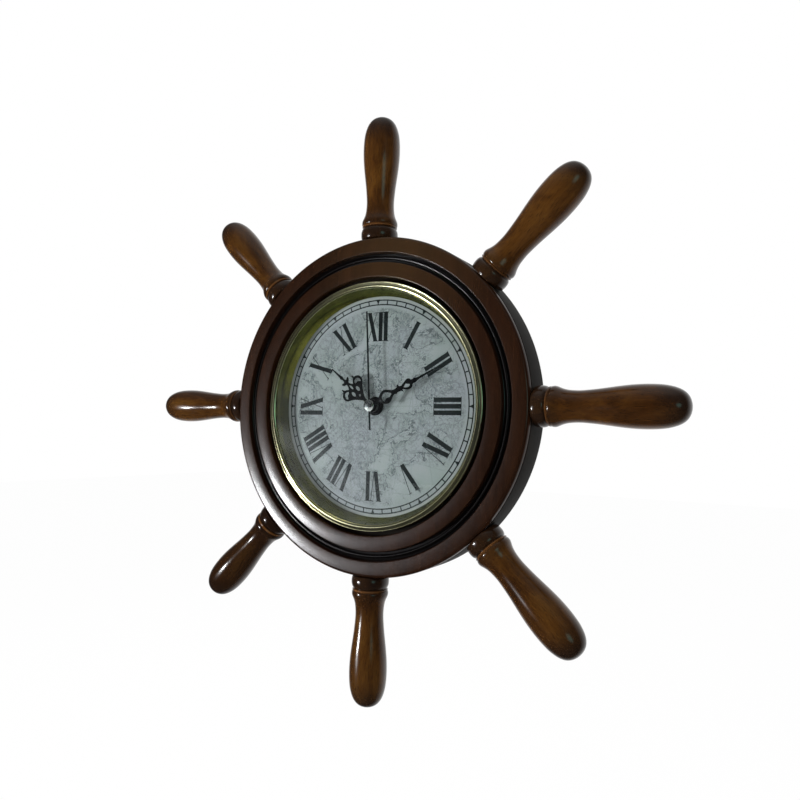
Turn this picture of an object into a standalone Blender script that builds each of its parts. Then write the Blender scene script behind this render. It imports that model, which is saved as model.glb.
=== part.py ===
"""Ship wheel wall clock.

The clock is modelled as it lies on its back on a bench: X to the right, Y towards twelve
o'clock, and Z, called height here, from the wall up to the viewer. One empty then stands the
whole clock up against the wall, so that the dial faces -Y and twelve o'clock points to +Z.
"""

import math

import bmesh
import bpy

MM = 0.001
GAP = 0.3 * MM          # air left between pieces that touch
RUN = 0.35 * MM         # air left round a piece that turns
OVERCUT = 1.0 * MM      # how far a cutter runs past the face it opens

# Wooden handles, from the case out to the tip
HANDLE_COUNT = 8
HANDLE_HEIGHT = 17.5 * MM       # the handles' axes above the wall
TENON_RADIUS = 5.0 * MM
TENON_LENGTH = 20.0 * MM
COLLAR_RADIUS = 12.6 * MM
COLLAR_LENGTH = 8.2 * MM
COLLAR_EDGE = 1.2 * MM
NOTCH_RADIUS = 11.3 * MM
RING_RADIUS = 12.2 * MM
RING_LENGTH = 6.6 * MM
RING_EDGE = 0.8 * MM
NECK_RADIUS = 9.4 * MM
NECK_LENGTH = 12.2 * MM         # from the ring down to the thinnest place
SWELL_LENGTH = 37.0 * MM        # from there up to the thickest
GRIP_RADIUS = 12.6 * MM
GRIP_LENGTH = 6.5 * MM
TIP_LENGTH = 16.0 * MM

# Brass and glass, outwards from the part of the dial that shows
DIAL_OPENING = 75.1 * MM
DIAL_THICKNESS = 0.5 * MM
SIGHT_SLOPE = 4.4 * MM          # width of the polished slope round the dial
SIGHT_SHEET = 0.6 * MM
SIGHT_HOLLOW = 0.7 * MM         # how far the slope is dished
LIP_REVEAL = 0.5 * MM           # how far the bezel's lip stands in over the slope
LIP_EASE = 0.3 * MM
GLASS_LAP = 2.5 * MM            # how far the lip covers the glass
GLASS_PLAY = 1.3 * MM
GLASS_THICKNESS = 1.3 * MM
GLASS_EASE = 0.3 * MM
BEZEL_SHEET = 0.8 * MM
BEZEL_ROUND = 2.5 * MM

# Wooden rim, outwards from the brass
RIM_REVEAL = 2.4 * MM           # dark step between brass and wood
INNER_BAND = 9.9 * MM
GROOVE_WIDTH = 6.5 * MM
OUTER_BAND = 10.5 * MM
GROOVE_DEPTH = 4.1 * MM
BEAD_RADIUS = 1.5 * MM
RIM_DEPTH = 5.7 * MM
RIM_ROUND = 2.2 * MM
RIM_LIP = 0.7 * MM
RIM_STAND = 0.7 * MM            # how far the wood stands out past the brass
CASE_EDGE = 1.2 * MM
POCKET_PLAY = 3.4 * MM          # room at the movement's corners in the case's back

# Hands
HOUR_DEG = 307.6
MINUTE_DEG = 63.6
SECOND_DEG = -3.5
HOUR_LENGTH = 42.0 * MM
MINUTE_LENGTH = 52.6 * MM
SECOND_LENGTH = 64.2 * MM
SECOND_TAIL = 16.5 * MM
SECOND_WIDTH = 1.1 * MM
SECOND_TIP_WIDTH = 0.8 * MM
HAND_SHEET = 0.4 * MM
HAND_AIR = 0.9 * MM             # between one hand and the next
HAND_TIP = 0.4 * MM
HOUR_BOSS = 4.3 * MM
MINUTE_BOSS = 3.6 * MM
SECOND_BOSS = 2.2 * MM
CAP_RADIUS = 4.0 * MM
CAP_DEPTH = 1.2 * MM
CAP_AIR = 0.2 * MM              # between the cap and the glass

# Shaft and fittings, where the movement comes through the dial
BUSH_RADIUS = 4.0 * MM
BUSH_FLANGE = 1.5 * MM
BUSH_FLANGE_DEPTH = 0.7 * MM
BUSH_STAND = 0.9 * MM           # thread that shows above the nut
HOUR_HAND_STAND = 1.3 * MM      # hour hand above the bush
NUT_FLATS = 10.0 * MM
NUT_THICKNESS = 2.0 * MM
WASHER_RADIUS = 6.4 * MM
WASHER_THICKNESS = 0.4 * MM
SECOND_ARBOR = 0.5 * MM
MINUTE_TUBE = 1.5 * MM
HOUR_TUBE = 2.5 * MM
TUBE_WALL = 0.65 * MM

# Quartz movement
MOVEMENT_CORNER = 3.0 * MM
MOVEMENT_BACK = 0.5 * MM        # from the wall to the cover
COVER_THICKNESS = 1.5 * MM
SHELL_WALL = 1.2 * MM
SHELL_FLOOR = 1.0 * MM
ROOM_CORNER = 1.0 * MM
BATTERY_RADIUS = 7.1 * MM
BATTERY_LENGTH = 49.2 * MM
BATTERY_EASE = 0.8 * MM
BATTERY_NUB_RADIUS = 2.75 * MM
BATTERY_NUB_LENGTH = 1.0 * MM
BAY_WALL = 1.0 * MM
BAY_SKIN = 0.3 * MM             # plastic left in front of the battery
CONTACT_SHEET = 0.4 * MM
CONTACT_SPRING = 1.1 * MM       # depth of a bent contact
CONTACT_HEIGHT = 4.5 * MM
CONTACT_WIDTH = 6.0 * MM

# Wheels of the movement: teeth and distances between axes
SECOND_PINION_TEETH = 6
THIRD_TEETH = 45
THIRD_PINION_TEETH = 6
CENTRE_TEETH = 48
CANNON_TEETH = 8
MOTION_TEETH = 24
MOTION_PINION_TEETH = 8
HOUR_TEETH = 32
SECOND_TEETH = 30
INTERMEDIATE_PINION_TEETH = 6
INTERMEDIATE_TEETH = 36
ROTOR_PINION_TEETH = 6
KNOB_TEETH = 12
TOOTH_ABOVE = 0.85              # tooth height above the pitch circle, in modules
TOOTH_BELOW = 1.15
TOOTH_HALF_ROOT = 0.34          # half a tooth's width at its root, in tooth pitches
THIRD_DISTANCE = 9.45 * MM
MOTION_DISTANCE = 8.0 * MM
ROTOR_DISTANCE = 7.35 * MM
ROTOR_DIRECTION = 20.0
PIVOT_RADIUS = 0.5 * MM
WHEEL_THICKNESS = 0.8 * MM
WHEEL_AIR = 0.75 * MM           # between one wheel and the next along the axis
FIRST_WHEEL = 2.7 * MM          # lowest wheel above the cover's inner face
KNOB_RADIUS = 5.8 * MM
KNOB_THICKNESS = 1.7 * MM
KNOB_SHAFT = 1.2 * MM

# Stepping motor
MAGNET_RADIUS = 2.6 * MM
MAGNET_HALF = 1.5 * MM
STATOR_SHEET = 0.8 * MM
STATOR_POLE = 2.4 * MM          # iron left round the rotor
STATOR_LEG = 2.6 * MM
STATOR_ROOM = 0.7 * MM          # between the stator and the shell beside it
POST_RADIUS = 1.1 * MM
COIL_ROOM = 3.9 * MM            # between the coil and the shell above it
COIL_RADIUS = 2.6 * MM
COIL_FLANGE = 0.8 * MM
COIL_CLEAR = 1.5 * MM           # between the coil's ends and the stator's legs
BOBBIN_RADIUS = 3.4 * MM
BOARD_THICKNESS = 0.8 * MM
BOARD_LEFT = 9.8 * MM
BOARD_LOW = 8.6 * MM

# Hanger let into the back, at twelve o'clock
HANGER_PLACE = 88.0 * MM
HANGER_WIDTH = 38.0 * MM
HANGER_DEPTH = 22.0 * MM
HANGER_CORNER = 3.0 * MM
HANGER_SHEET = 1.5 * MM
KEYHOLE_HEAD = 4.8 * MM         # radius of the hole that the nail's head enters
KEYHOLE_SLOT = 2.5 * MM         # half width of the slot above it
KEYHOLE_TRAVEL = 8.0 * MM
NAIL_ROOM = 1.0 * MM
NAIL_POCKET = 8.0 * MM
SCREW_SPREAD = 14.0 * MM
SCREW_RADIUS = 1.75 * MM
SCREW_HEAD = 3.3 * MM
SCREW_HEAD_EDGE = 0.2 * MM
SCREW_LENGTH = 9.0 * MM
SCREW_POINT = 3.0 * MM

# Facets round each kind of turned piece
WHEEL_STEPS = 40
HANDLE_STEPS = 12
SMALL_STEPS = 14
PIN_STEPS = 8

# Radii that follow from the dial's opening
SIGHT_TOP = DIAL_OPENING + SIGHT_SLOPE
BEZEL_LIP = SIGHT_TOP - LIP_REVEAL
GLASS_RADIUS = BEZEL_LIP + GLASS_LAP
BEZEL_RADIUS = GLASS_RADIUS + GLASS_PLAY + BEZEL_SHEET
SIGHT_FLANGE = BEZEL_RADIUS - BEZEL_SHEET - GAP
INSERT_BORE = BEZEL_RADIUS + GAP
RIM_OPENING = INSERT_BORE + RIM_REVEAL
GROOVE_INNER = RIM_OPENING + INNER_BAND
GROOVE_OUTER = GROOVE_INNER + GROOVE_WIDTH
CASE_RADIUS = GROOVE_OUTER + OUTER_BAND

# The movement is as wide as its battery with both contacts, and the pocket takes its corners
BATTERY_BAY = BATTERY_LENGTH + BATTERY_NUB_LENGTH + 2 * (GAP + CONTACT_SPRING + GAP)
MOVEMENT_SIDE = BATTERY_BAY + 2 * SHELL_WALL
POCKET_RADIUS = MOVEMENT_SIDE * math.sqrt(0.5) + POCKET_PLAY

# Heights of the movement's layers above the wall
COVER_INSIDE = MOVEMENT_BACK + COVER_THICKNESS
LAYER = WHEEL_THICKNESS + WHEEL_AIR
INTERMEDIATE_HEIGHT = COVER_INSIDE + FIRST_WHEEL
SECOND_WHEEL_HEIGHT = INTERMEDIATE_HEIGHT + LAYER
THIRD_WHEEL_HEIGHT = SECOND_WHEEL_HEIGHT + LAYER
CENTRE_WHEEL_HEIGHT = THIRD_WHEEL_HEIGHT + LAYER
CANNON_HEIGHT = CENTRE_WHEEL_HEIGHT + LAYER
HOUR_WHEEL_HEIGHT = CANNON_HEIGHT + LAYER
BUSH_FOOT = HOUR_WHEEL_HEIGHT + WHEEL_THICKNESS + RUN
WHEEL_ROOM_TOP = BUSH_FOOT + BUSH_FLANGE_DEPTH + GAP
BATTERY_HEIGHT = MOVEMENT_BACK + GAP + BATTERY_RADIUS
BAY_TOP = BATTERY_HEIGHT + BATTERY_RADIUS + GAP
SHELL_FRONT = max(WHEEL_ROOM_TOP + SHELL_FLOOR, BAY_TOP + BAY_SKIN)
SHELL_INSIDE = SHELL_FRONT - SHELL_FLOOR
BUSH_FLANGE_TOP = SHELL_INSIDE - GAP

# Heights from the dial to the front
DIAL_BACK = SHELL_FRONT + GAP
DIAL_FACE = DIAL_BACK + DIAL_THICKNESS
WASHER_FACE = DIAL_FACE + GAP + WASHER_THICKNESS
NUT_TOP = WASHER_FACE + GAP + NUT_THICKNESS
BUSH_TOP = NUT_TOP + BUSH_STAND
HOUR_HEIGHT = BUSH_TOP + HOUR_HAND_STAND
MINUTE_HEIGHT = HOUR_HEIGHT + HAND_SHEET + HAND_AIR
SECOND_HEIGHT = MINUTE_HEIGHT + HAND_SHEET + HAND_AIR
CAP_BASE = SECOND_HEIGHT + HAND_SHEET + GAP
GLASS_BACK = CAP_BASE + CAP_DEPTH + CAP_AIR
GLASS_TOP = GLASS_BACK + GLASS_THICKNESS
BEZEL_TOP = GLASS_TOP + GAP + BEZEL_SHEET
SIGHT_HEIGHT = GLASS_BACK - GAP
RIM_TOP = BEZEL_TOP + RIM_STAND
RIM_BACK = RIM_TOP - RIM_DEPTH
CASE_DEPTH = RIM_BACK - GAP


for old in list(bpy.data.objects):
    bpy.data.objects.remove(old, do_unlink=True)

clock = bpy.data.collections.new("ship_wheel_clock")
cutters = bpy.data.collections.new("cutters")
bpy.context.scene.collection.children.link(clock)
bpy.context.scene.collection.children.link(cutters)

wall = bpy.data.objects.new("clock_on_wall", None)
wall.rotation_euler = (math.pi / 2, 0, 0)
clock.objects.link(wall)


def finish(name, colour, roughness, metallic=0.0):
    """A plain surface finish in the piece's own colour."""
    made = bpy.data.materials.new(name)
    made.use_nodes = True
    shader = made.node_tree.nodes["Principled BSDF"]
    shader.inputs["Base Color"].default_value = (*colour, 1.0)
    shader.inputs["Roughness"].default_value = roughness
    shader.inputs["Metallic"].default_value = metallic
    return made


CASE_WOOD = finish("case_wood", (0.035, 0.022, 0.016), 0.4)
RIM_WOOD = finish("rim_wood", (0.06, 0.03, 0.02), 0.35)
HANDLE_WOOD = finish("handle_wood", (0.10, 0.045, 0.015), 0.2)
BRASS = finish("brass", (0.75, 0.62, 0.28), 0.2, 1.0)
GLASS = finish("glass", (0.9, 0.95, 0.95), 0.05)
PAPER = finish("dial_paper", (0.38, 0.43, 0.45), 0.6)
BLACK = finish("black_enamel", (0.01, 0.01, 0.01), 0.4)
CHROME = finish("polished_cap", (0.8, 0.8, 0.8), 0.1, 1.0)
STEEL = finish("steel", (0.5, 0.5, 0.5), 0.35, 1.0)
BLACK_PLASTIC = finish("black_plastic", (0.02, 0.02, 0.02), 0.5)
WHITE_PLASTIC = finish("white_nylon", (0.8, 0.8, 0.75), 0.5)
GREEN_BOARD = finish("green_board", (0.02, 0.15, 0.05), 0.5)
COPPER = finish("copper_wire", (0.6, 0.25, 0.1), 0.3, 1.0)
CELL = finish("battery_sleeve", (0.05, 0.12, 0.3), 0.4)


def place(piece, material, parent=wall, location=(0, 0, 0), rotation=(0, 0, 0)):
    """Give a piece its finish, put it on what carries it and file it with the clock."""
    piece.data.materials.append(material)
    piece.parent = parent
    piece.location = location
    piece.rotation_euler = rotation
    if piece.name not in clock.objects:
        clock.objects.link(piece)
    return piece


def turned(name, profile, steps):
    """Turn a profile of (radius, height) points round the Z axis.

    The points run down the outer side first. A profile that neither starts nor ends on the
    axis is a closed ring.
    """
    mesh = bpy.data.meshes.new(name)
    count = len(profile)
    edges = [(i, i + 1) for i in range(count - 1)]
    if profile[0][0] > 0 or profile[-1][0] > 0:
        edges.append((count - 1, 0))
    mesh.from_pydata([(radius, 0, height) for radius, height in profile], edges, [])
    piece = bpy.data.objects.new(name, mesh)
    screw = piece.modifiers.new("turning", "SCREW")
    screw.angle = 2 * math.pi
    screw.steps = steps
    screw.render_steps = steps
    screw.use_merge_vertices = True
    screw.merge_threshold = 0.00001
    screw.use_smooth_shade = True
    return piece


def arc(centre, radius, start, end, count):
    """Points of an arc in degrees, both ends included."""
    points = []
    for i in range(count + 1):
        angle = math.radians(start + (end - start) * i / count)
        x = centre[0] + radius * math.cos(angle)
        y = centre[1] + radius * math.sin(angle)
        points.append((x, y))
    return points


def rod(radius, low, high):
    """Profile of a plain rod."""
    return [(0, high), (radius, high), (radius, low), (0, low)]


def tube(inner, outer, low, high):
    """Profile of a plain tube."""
    return [(outer, high), (outer, low), (inner, low), (inner, high)]


def flat(name, outlines, low, high):
    """A sheet between two heights, from closed outlines; the inner ones are holes."""
    curve = bpy.data.curves.new(name, "CURVE")
    curve.dimensions = "2D"
    curve.fill_mode = "BOTH"
    curve.extrude = (high - low) / 2
    for outline in outlines:
        spline = curve.splines.new("POLY")
        spline.points.add(len(outline) - 1)
        for point, (x, y) in zip(spline.points, outline):
            point.co = (x, y, 0, 1)
        spline.use_cyclic_u = True
    sheet = bpy.data.objects.new(name, curve)
    clock.objects.link(sheet)
    bpy.context.view_layer.update()
    graph = bpy.context.evaluated_depsgraph_get()
    mesh = bpy.data.meshes.new_from_object(sheet.evaluated_get(graph))
    bpy.data.objects.remove(sheet, do_unlink=True)
    shape = bmesh.new()
    shape.from_mesh(mesh)
    bmesh.ops.remove_doubles(shape, verts=shape.verts, dist=0.000001)
    bmesh.ops.translate(shape, verts=shape.verts, vec=(0, 0, (high + low) / 2))
    bmesh.ops.recalc_face_normals(shape, faces=shape.faces)
    shape.to_mesh(mesh)
    shape.free()
    return bpy.data.objects.new(name, mesh)


def circle(radius, steps, centre=(0, 0)):
    """A closed round outline."""
    return arc(centre, radius, 0, 360 - 360 / steps, steps - 1)


def rounded_box(width, depth, corner, centre=(0, 0)):
    """A closed rectangle with round corners."""
    points = []
    for sign_x, sign_y, start in ((1, 1, 0), (-1, 1, 90), (-1, -1, 180), (1, -1, 270)):
        middle = (centre[0] + sign_x * (width / 2 - corner), centre[1] + sign_y * (depth / 2 - corner))
        points += arc(middle, corner, start, start + 90, 3)
    return points


def cut(target, tool, operation="DIFFERENCE", parent=wall, location=(0, 0, 0), rotation=(0, 0, 0)):
    """Cut a tool's shape out of a piece, or join it on."""
    tool.parent = parent
    tool.location = location
    tool.rotation_euler = rotation
    tool.hide_render = True
    tool.display_type = "WIRE"
    cutters.objects.link(tool)
    boolean = target.modifiers.new(tool.name, "BOOLEAN")
    boolean.operation = operation
    boolean.solver = "EXACT"
    boolean.object = tool
    return target


def axis_empty(name, x=0.0, y=0.0, degrees=0.0):
    """The axis that a moving group turns on; degrees count clockwise as seen from the front."""
    empty = bpy.data.objects.new(name, None)
    empty.parent = wall
    empty.location = (x, y, 0)
    empty.rotation_euler = (0, 0, -math.radians(degrees))
    clock.objects.link(empty)
    return empty


def handle_axis(index):
    """Location and rotation that point a piece's Z axis out along one handle."""
    turn = 2 * math.pi * index / HANDLE_COUNT
    return (0, 0, HANDLE_HEIGHT), (-math.pi / 2, 0, -turn)


def build_case_body():
    """Thick wooden ring: a recess in front for the brass insert, a hole for the movement."""
    profile = [
        (CASE_RADIUS - CASE_EDGE, CASE_DEPTH),
        (CASE_RADIUS, CASE_DEPTH - CASE_EDGE),
        (CASE_RADIUS, CASE_EDGE),
        (CASE_RADIUS - CASE_EDGE, 0),
        (POCKET_RADIUS, 0),
        (POCKET_RADIUS, SHELL_FRONT),
        (INSERT_BORE, SHELL_FRONT),
        (INSERT_BORE, CASE_DEPTH),
    ]
    body = place(turned("case_body", profile, WHEEL_STEPS), CASE_WOOD)
    for index in range(HANDLE_COUNT):
        location, rotation = handle_axis(index)
        socket_profile = rod(TENON_RADIUS + GAP, CASE_RADIUS - TENON_LENGTH, CASE_RADIUS + OVERCUT)
        socket = turned(f"socket_{index + 1}", socket_profile, HANDLE_STEPS)
        cut(body, socket, location=location, rotation=rotation)
    recess = flat(
        "hanger_recess",
        [rounded_box(HANGER_WIDTH + 2 * GAP, HANGER_DEPTH + 2 * GAP, HANGER_CORNER, (0, HANGER_PLACE))],
        -OVERCUT,
        HANGER_SHEET + 2 * GAP,
    )
    cut(body, recess)
    pocket = flat("nail_pocket", [nail_pocket_outline()], HANGER_SHEET, NAIL_POCKET)
    cut(body, pocket)
    hole_profile = rod(SCREW_RADIUS + GAP, -OVERCUT, SCREW_LENGTH + 2 * GAP)
    for side in (-1, 1):
        hole = turned(f"screw_hole_{side + 2}", hole_profile, PIN_STEPS)
        cut(body, hole, location=(side * SCREW_SPREAD, HANGER_PLACE, 0))
    return body


def nail_pocket_outline():
    """Room behind the keyhole for the nail's head."""
    width = 2 * (KEYHOLE_HEAD + NAIL_ROOM)
    return rounded_box(width, width + KEYHOLE_TRAVEL, KEYHOLE_HEAD, (0, HANGER_PLACE))


def build_front_rim():
    """Turned moulding glued on the front: two flat bands, and a groove with a bead between."""
    middle = (GROOVE_INNER + GROOVE_OUTER) / 2
    floor = RIM_TOP - GROOVE_DEPTH
    lip = RIM_LIP
    profile = arc((CASE_RADIUS - RIM_ROUND, RIM_TOP - RIM_ROUND), RIM_ROUND, 90, 0, 3)
    profile += [(CASE_RADIUS, RIM_BACK + CASE_EDGE), (CASE_RADIUS - CASE_EDGE, RIM_BACK)]
    profile += [(RIM_OPENING, RIM_BACK), (RIM_OPENING, RIM_TOP - lip), (RIM_OPENING + lip, RIM_TOP)]
    profile += [(GROOVE_INNER - lip, RIM_TOP), (GROOVE_INNER, RIM_TOP - lip), (GROOVE_INNER, floor)]
    profile += arc((middle, floor), BEAD_RADIUS, 180, 0, 4)
    profile += [(GROOVE_OUTER, floor), (GROOVE_OUTER, RIM_TOP - lip), (GROOVE_OUTER + lip, RIM_TOP)]
    return place(turned("front_rim", profile, WHEEL_STEPS), RIM_WOOD)


def swell(start, end, share):
    """Smooth step from one radius to the next."""
    blend = share * share * (3 - 2 * share)
    return start + (end - start) * blend


def handle_profile():
    """Radius and distance from the wheel's centre, from the handle's tip down to its tenon."""
    base = CASE_RADIUS + GAP
    notch = base + COLLAR_LENGTH
    neck = notch + RING_LENGTH + NECK_LENGTH
    grip = neck + SWELL_LENGTH
    tip = grip + GRIP_LENGTH + TIP_LENGTH
    points = [(0, tip)]
    for along, across in ((0.05, 0.5), (0.2, 0.66), (0.45, 0.83), (0.75, 0.95), (1.0, 0.985)):
        points.append((GRIP_RADIUS * across, tip - TIP_LENGTH * along))
    points.append((GRIP_RADIUS, grip))
    for share in (0.35, 0.7, 1.0):
        points.append((swell(GRIP_RADIUS, NECK_RADIUS, share), grip - SWELL_LENGTH * share))
    points.append((swell(NECK_RADIUS, RING_RADIUS, 0.6), neck - NECK_LENGTH * 0.6))
    points.append((RING_RADIUS, notch + RING_LENGTH * 0.55))
    points.append((RING_RADIUS - RING_EDGE * 0.4, notch + RING_EDGE))
    points.append((NOTCH_RADIUS, notch))
    points.append((COLLAR_RADIUS - COLLAR_EDGE * 0.3, notch - COLLAR_EDGE))
    points.append((COLLAR_RADIUS, notch - COLLAR_LENGTH * 0.45))
    points.append((COLLAR_RADIUS - COLLAR_EDGE * 0.5, base))
    points.append((TENON_RADIUS, base))
    points.append((TENON_RADIUS, CASE_RADIUS - TENON_LENGTH + GAP))
    points.append((0, CASE_RADIUS - TENON_LENGTH + GAP))
    return points


def build_handles():
    """Eight turned handles, each with a round tenon glued in the case."""
    profile = handle_profile()
    for index in range(HANDLE_COUNT):
        location, rotation = handle_axis(index)
        handle = turned(f"handle_{index + 1}", profile, HANDLE_STEPS)
        place(handle, HANDLE_WOOD, location=location, rotation=rotation)


def build_bezel():
    """Spun brass ring: a round bead over the glass, and a skirt pressed into the case."""
    middle = (BEZEL_RADIUS - BEZEL_ROUND, BEZEL_TOP - BEZEL_ROUND)
    foot = DIAL_FACE + GAP
    profile = arc(middle, BEZEL_ROUND, 90, 0, 4)
    profile += [(BEZEL_RADIUS, foot), (BEZEL_RADIUS - BEZEL_SHEET, foot)]
    profile += arc(middle, BEZEL_ROUND - BEZEL_SHEET, 0, 90, 3)
    profile += [(BEZEL_LIP, BEZEL_TOP - BEZEL_SHEET), (BEZEL_LIP + LIP_EASE, BEZEL_TOP - LIP_EASE)]
    return place(turned("bezel", profile, WHEEL_STEPS), BRASS)


def build_glass():
    """Flat glass with eased edges, held under the bezel's lip."""
    profile = [
        (0, GLASS_TOP),
        (GLASS_RADIUS - GLASS_EASE, GLASS_TOP),
        (GLASS_RADIUS, GLASS_TOP - GLASS_EASE),
        (GLASS_RADIUS, GLASS_BACK),
        (0, GLASS_BACK),
    ]
    return place(turned("glass", profile, WHEEL_STEPS), GLASS)


def sight_slope(offset):
    """The sight ring's dished slope, from its top edge to the dial."""
    foot = DIAL_FACE + GAP
    steps = 4
    points = []
    for i in range(steps + 1):
        share = i / steps
        across = SIGHT_TOP - SIGHT_SLOPE * share + SIGHT_HOLLOW * math.sin(math.pi * share)
        points.append((across + offset, SIGHT_HEIGHT + (foot - SIGHT_HEIGHT) * share))
    return points


def build_sight_ring():
    """Polished brass slope between glass and dial; its flange keeps the glass in place."""
    under = SIGHT_HEIGHT - SIGHT_SHEET
    profile = [(SIGHT_FLANGE, SIGHT_HEIGHT), (SIGHT_FLANGE, under)]
    outer = sight_slope(SIGHT_SHEET)
    outer[0] = (SIGHT_TOP + SIGHT_SHEET + SIGHT_HOLLOW / 2, under)
    profile += outer
    profile += list(reversed(sight_slope(0)))
    return place(turned("sight_ring", profile, WHEEL_STEPS), BRASS)


def build_dial():
    """Metal disc with the printed paper, clamped between the web and the sight ring."""
    profile = tube(BUSH_RADIUS + GAP, BEZEL_RADIUS - GAP, DIAL_BACK, DIAL_FACE)
    return place(turned("dial", profile, WHEEL_STEPS), PAPER)


def blend(before, start, end, after, share):
    """One coordinate of a smooth curve, a share of the way from start to end."""
    bend = 2 * before - 5 * start + 4 * end - after
    twist = 3 * start - before - 3 * end + after
    return 0.5 * (2 * start + (end - before) * share + bend * share ** 2 + twist * share ** 3)


def smooth_run(points, steps):
    """A curve through all the points, from the first to the last, as short straight steps."""
    padded = [points[0]] + list(points) + [points[-1]]
    run = []
    for four in zip(padded, padded[1:], padded[2:], padded[3:]):
        for i in range(steps):
            run.append(tuple(blend(*coordinate, i / steps) for coordinate in zip(*four)))
    return run + [points[-1]]


def smooth_loop(points, steps):
    """A closed curve through all the points."""
    count = len(points)
    wrapped = [points[i % count] for i in range(-1, count + 2)]
    return smooth_run(wrapped, steps)[steps:-steps - 1]


def in_mm(points):
    """Points written in millimetres, as (across, along) a hand, in metres."""
    return [(across * MM, along * MM) for across, along in points]


def mirrored(points):
    """The same points on the hand's other side, in the opposite order."""
    return [(-across, along) for across, along in reversed(points)]


def hub_arc(radius, opening):
    """A hand's round boss, left open towards the tip by a given width."""
    half = math.degrees(math.asin(opening / 2 / radius))
    return arc((0, 0), radius, 90 + half, 450 - half, 14)


CURVE_STEPS = 2

# Hour hand, right half, in mm across and along: from the waist out round the curl to its hook,
# down into the notch, up the crossed leaf and along the point
HOUR_WAIST = 2.4
HOUR_CURL_SIDE = [(1.0, 7.0), (2.9, 10.0), (7.4, 14.8), (10.2, 18.3), (9.4, 21.6), (6.6, 24.2)]
HOUR_NOTCH = [(4.2, 21.7), (1.5, 24.3)]
HOUR_LEAF = [(2.7, 26.9), (0.75, 26.2)]
HOUR_SWELL = (0.95, 31.0)
HOUR_TIP_WIDTH = 0.5
HOUR_ROOT_CELL = ((0, 11.2), 1.2, 1.4)      # centre, half width and half length of each hole
HOUR_SIDE_CELL = ((2.8, 15.8), 1.5, 2.3)
HOUR_TOP_CELL = ((0, 20.6), 1.4, 2.4)
HOUR_CURL_HOLE = [(4.4, 19.9), (6.2, 18.9), (8.4, 18.6), (8.5, 20.3), (6.5, 22.1)]

# Minute hand, in mm: its two sides differ, because the ball is right in one loop and left in the other
MINUTE_WAIST = 2.4
MINUTE_RIGHT = [(1.2, 7.8), (3.6, 9.9), (5.0, 12.8), (4.8, 15.9), (2.7, 18.3), (1.0, 20.8), (1.2, 24.0)]
MINUTE_RIGHT_LEAF = [(2.4, 26.7), (0.9, 26.6)]
MINUTE_RIGHT_RING = [(2.1, 28.7), (3.5, 31.6), (3.1, 34.1), (0.9, 35.6), (1.4, 37.3), (0.75, 39.3)]
MINUTE_LEFT = [(-1.2, 7.8), (-3.0, 9.7), (-4.4, 12.0), (-4.2, 14.4), (-2.5, 17.6), (-0.9, 21.0), (-1.2, 23.4)]
MINUTE_LEFT_LEAF = [(-2.8, 24.7), (-0.9, 26.3)]
MINUTE_LEFT_RING = [(-1.6, 29.3), (-2.7, 31.8), (-2.9, 33.8), (-0.9, 35.6), (-1.4, 37.3), (-0.75, 39.3)]
MINUTE_TIP_WIDTH = 0.5
MINUTE_HOLE = [
    (0.0, 18.7), (1.7, 16.8), (1.9, 14.9), (2.6, 12.6), (1.8, 10.7),
    (-0.2, 10.0), (-2.2, 11.0), (-3.0, 13.3), (-1.7, 16.0),
]
MINUTE_RING_HOLE = [(0.3, 28.4), (1.7, 30.3), (2.1, 32.4), (0.9, 34.0), (-0.3, 33.0), (-1.0, 30.9)]


def diamond(cell, side=1):
    """A four-cornered hole with slightly bowed sides."""
    (across, along), wide, tall = cell
    corners = [(wide, 0), (wide * 0.45, tall * 0.6), (0, tall), (-wide * 0.45, tall * 0.6)]
    corners += [(-x, -y) for x, y in corners]
    return in_mm([(side * across + x, along + y) for x, y in corners])


def build_hour_hand(axis):
    """Pierced hour hand: crossed bars in a trellis, a hooked curl each side, and a long point."""
    half = smooth_run(HOUR_CURL_SIDE, CURVE_STEPS) + HOUR_NOTCH + HOUR_LEAF + [HOUR_SWELL]
    half = in_mm(half) + [(HOUR_TIP_WIDTH * MM / 2, HOUR_LENGTH - HAND_TIP), (0, HOUR_LENGTH)]
    outline = hub_arc(HOUR_BOSS, HOUR_WAIST * MM) + half + mirrored(half[:-1])
    holes = [circle(HOUR_TUBE + GAP, SMALL_STEPS), diamond(HOUR_ROOT_CELL), diamond(HOUR_TOP_CELL)]
    for side in (-1, 1):
        holes.append(diamond(HOUR_SIDE_CELL, side))
        curl = in_mm(smooth_loop(HOUR_CURL_HOLE, CURVE_STEPS))
        holes.append([(side * across, along) for across, along in curl])
    hand = flat("hour_hand", [outline] + holes, HOUR_HEIGHT, HOUR_HEIGHT + HAND_SHEET)
    return place(hand, BLACK, parent=axis)


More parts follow.
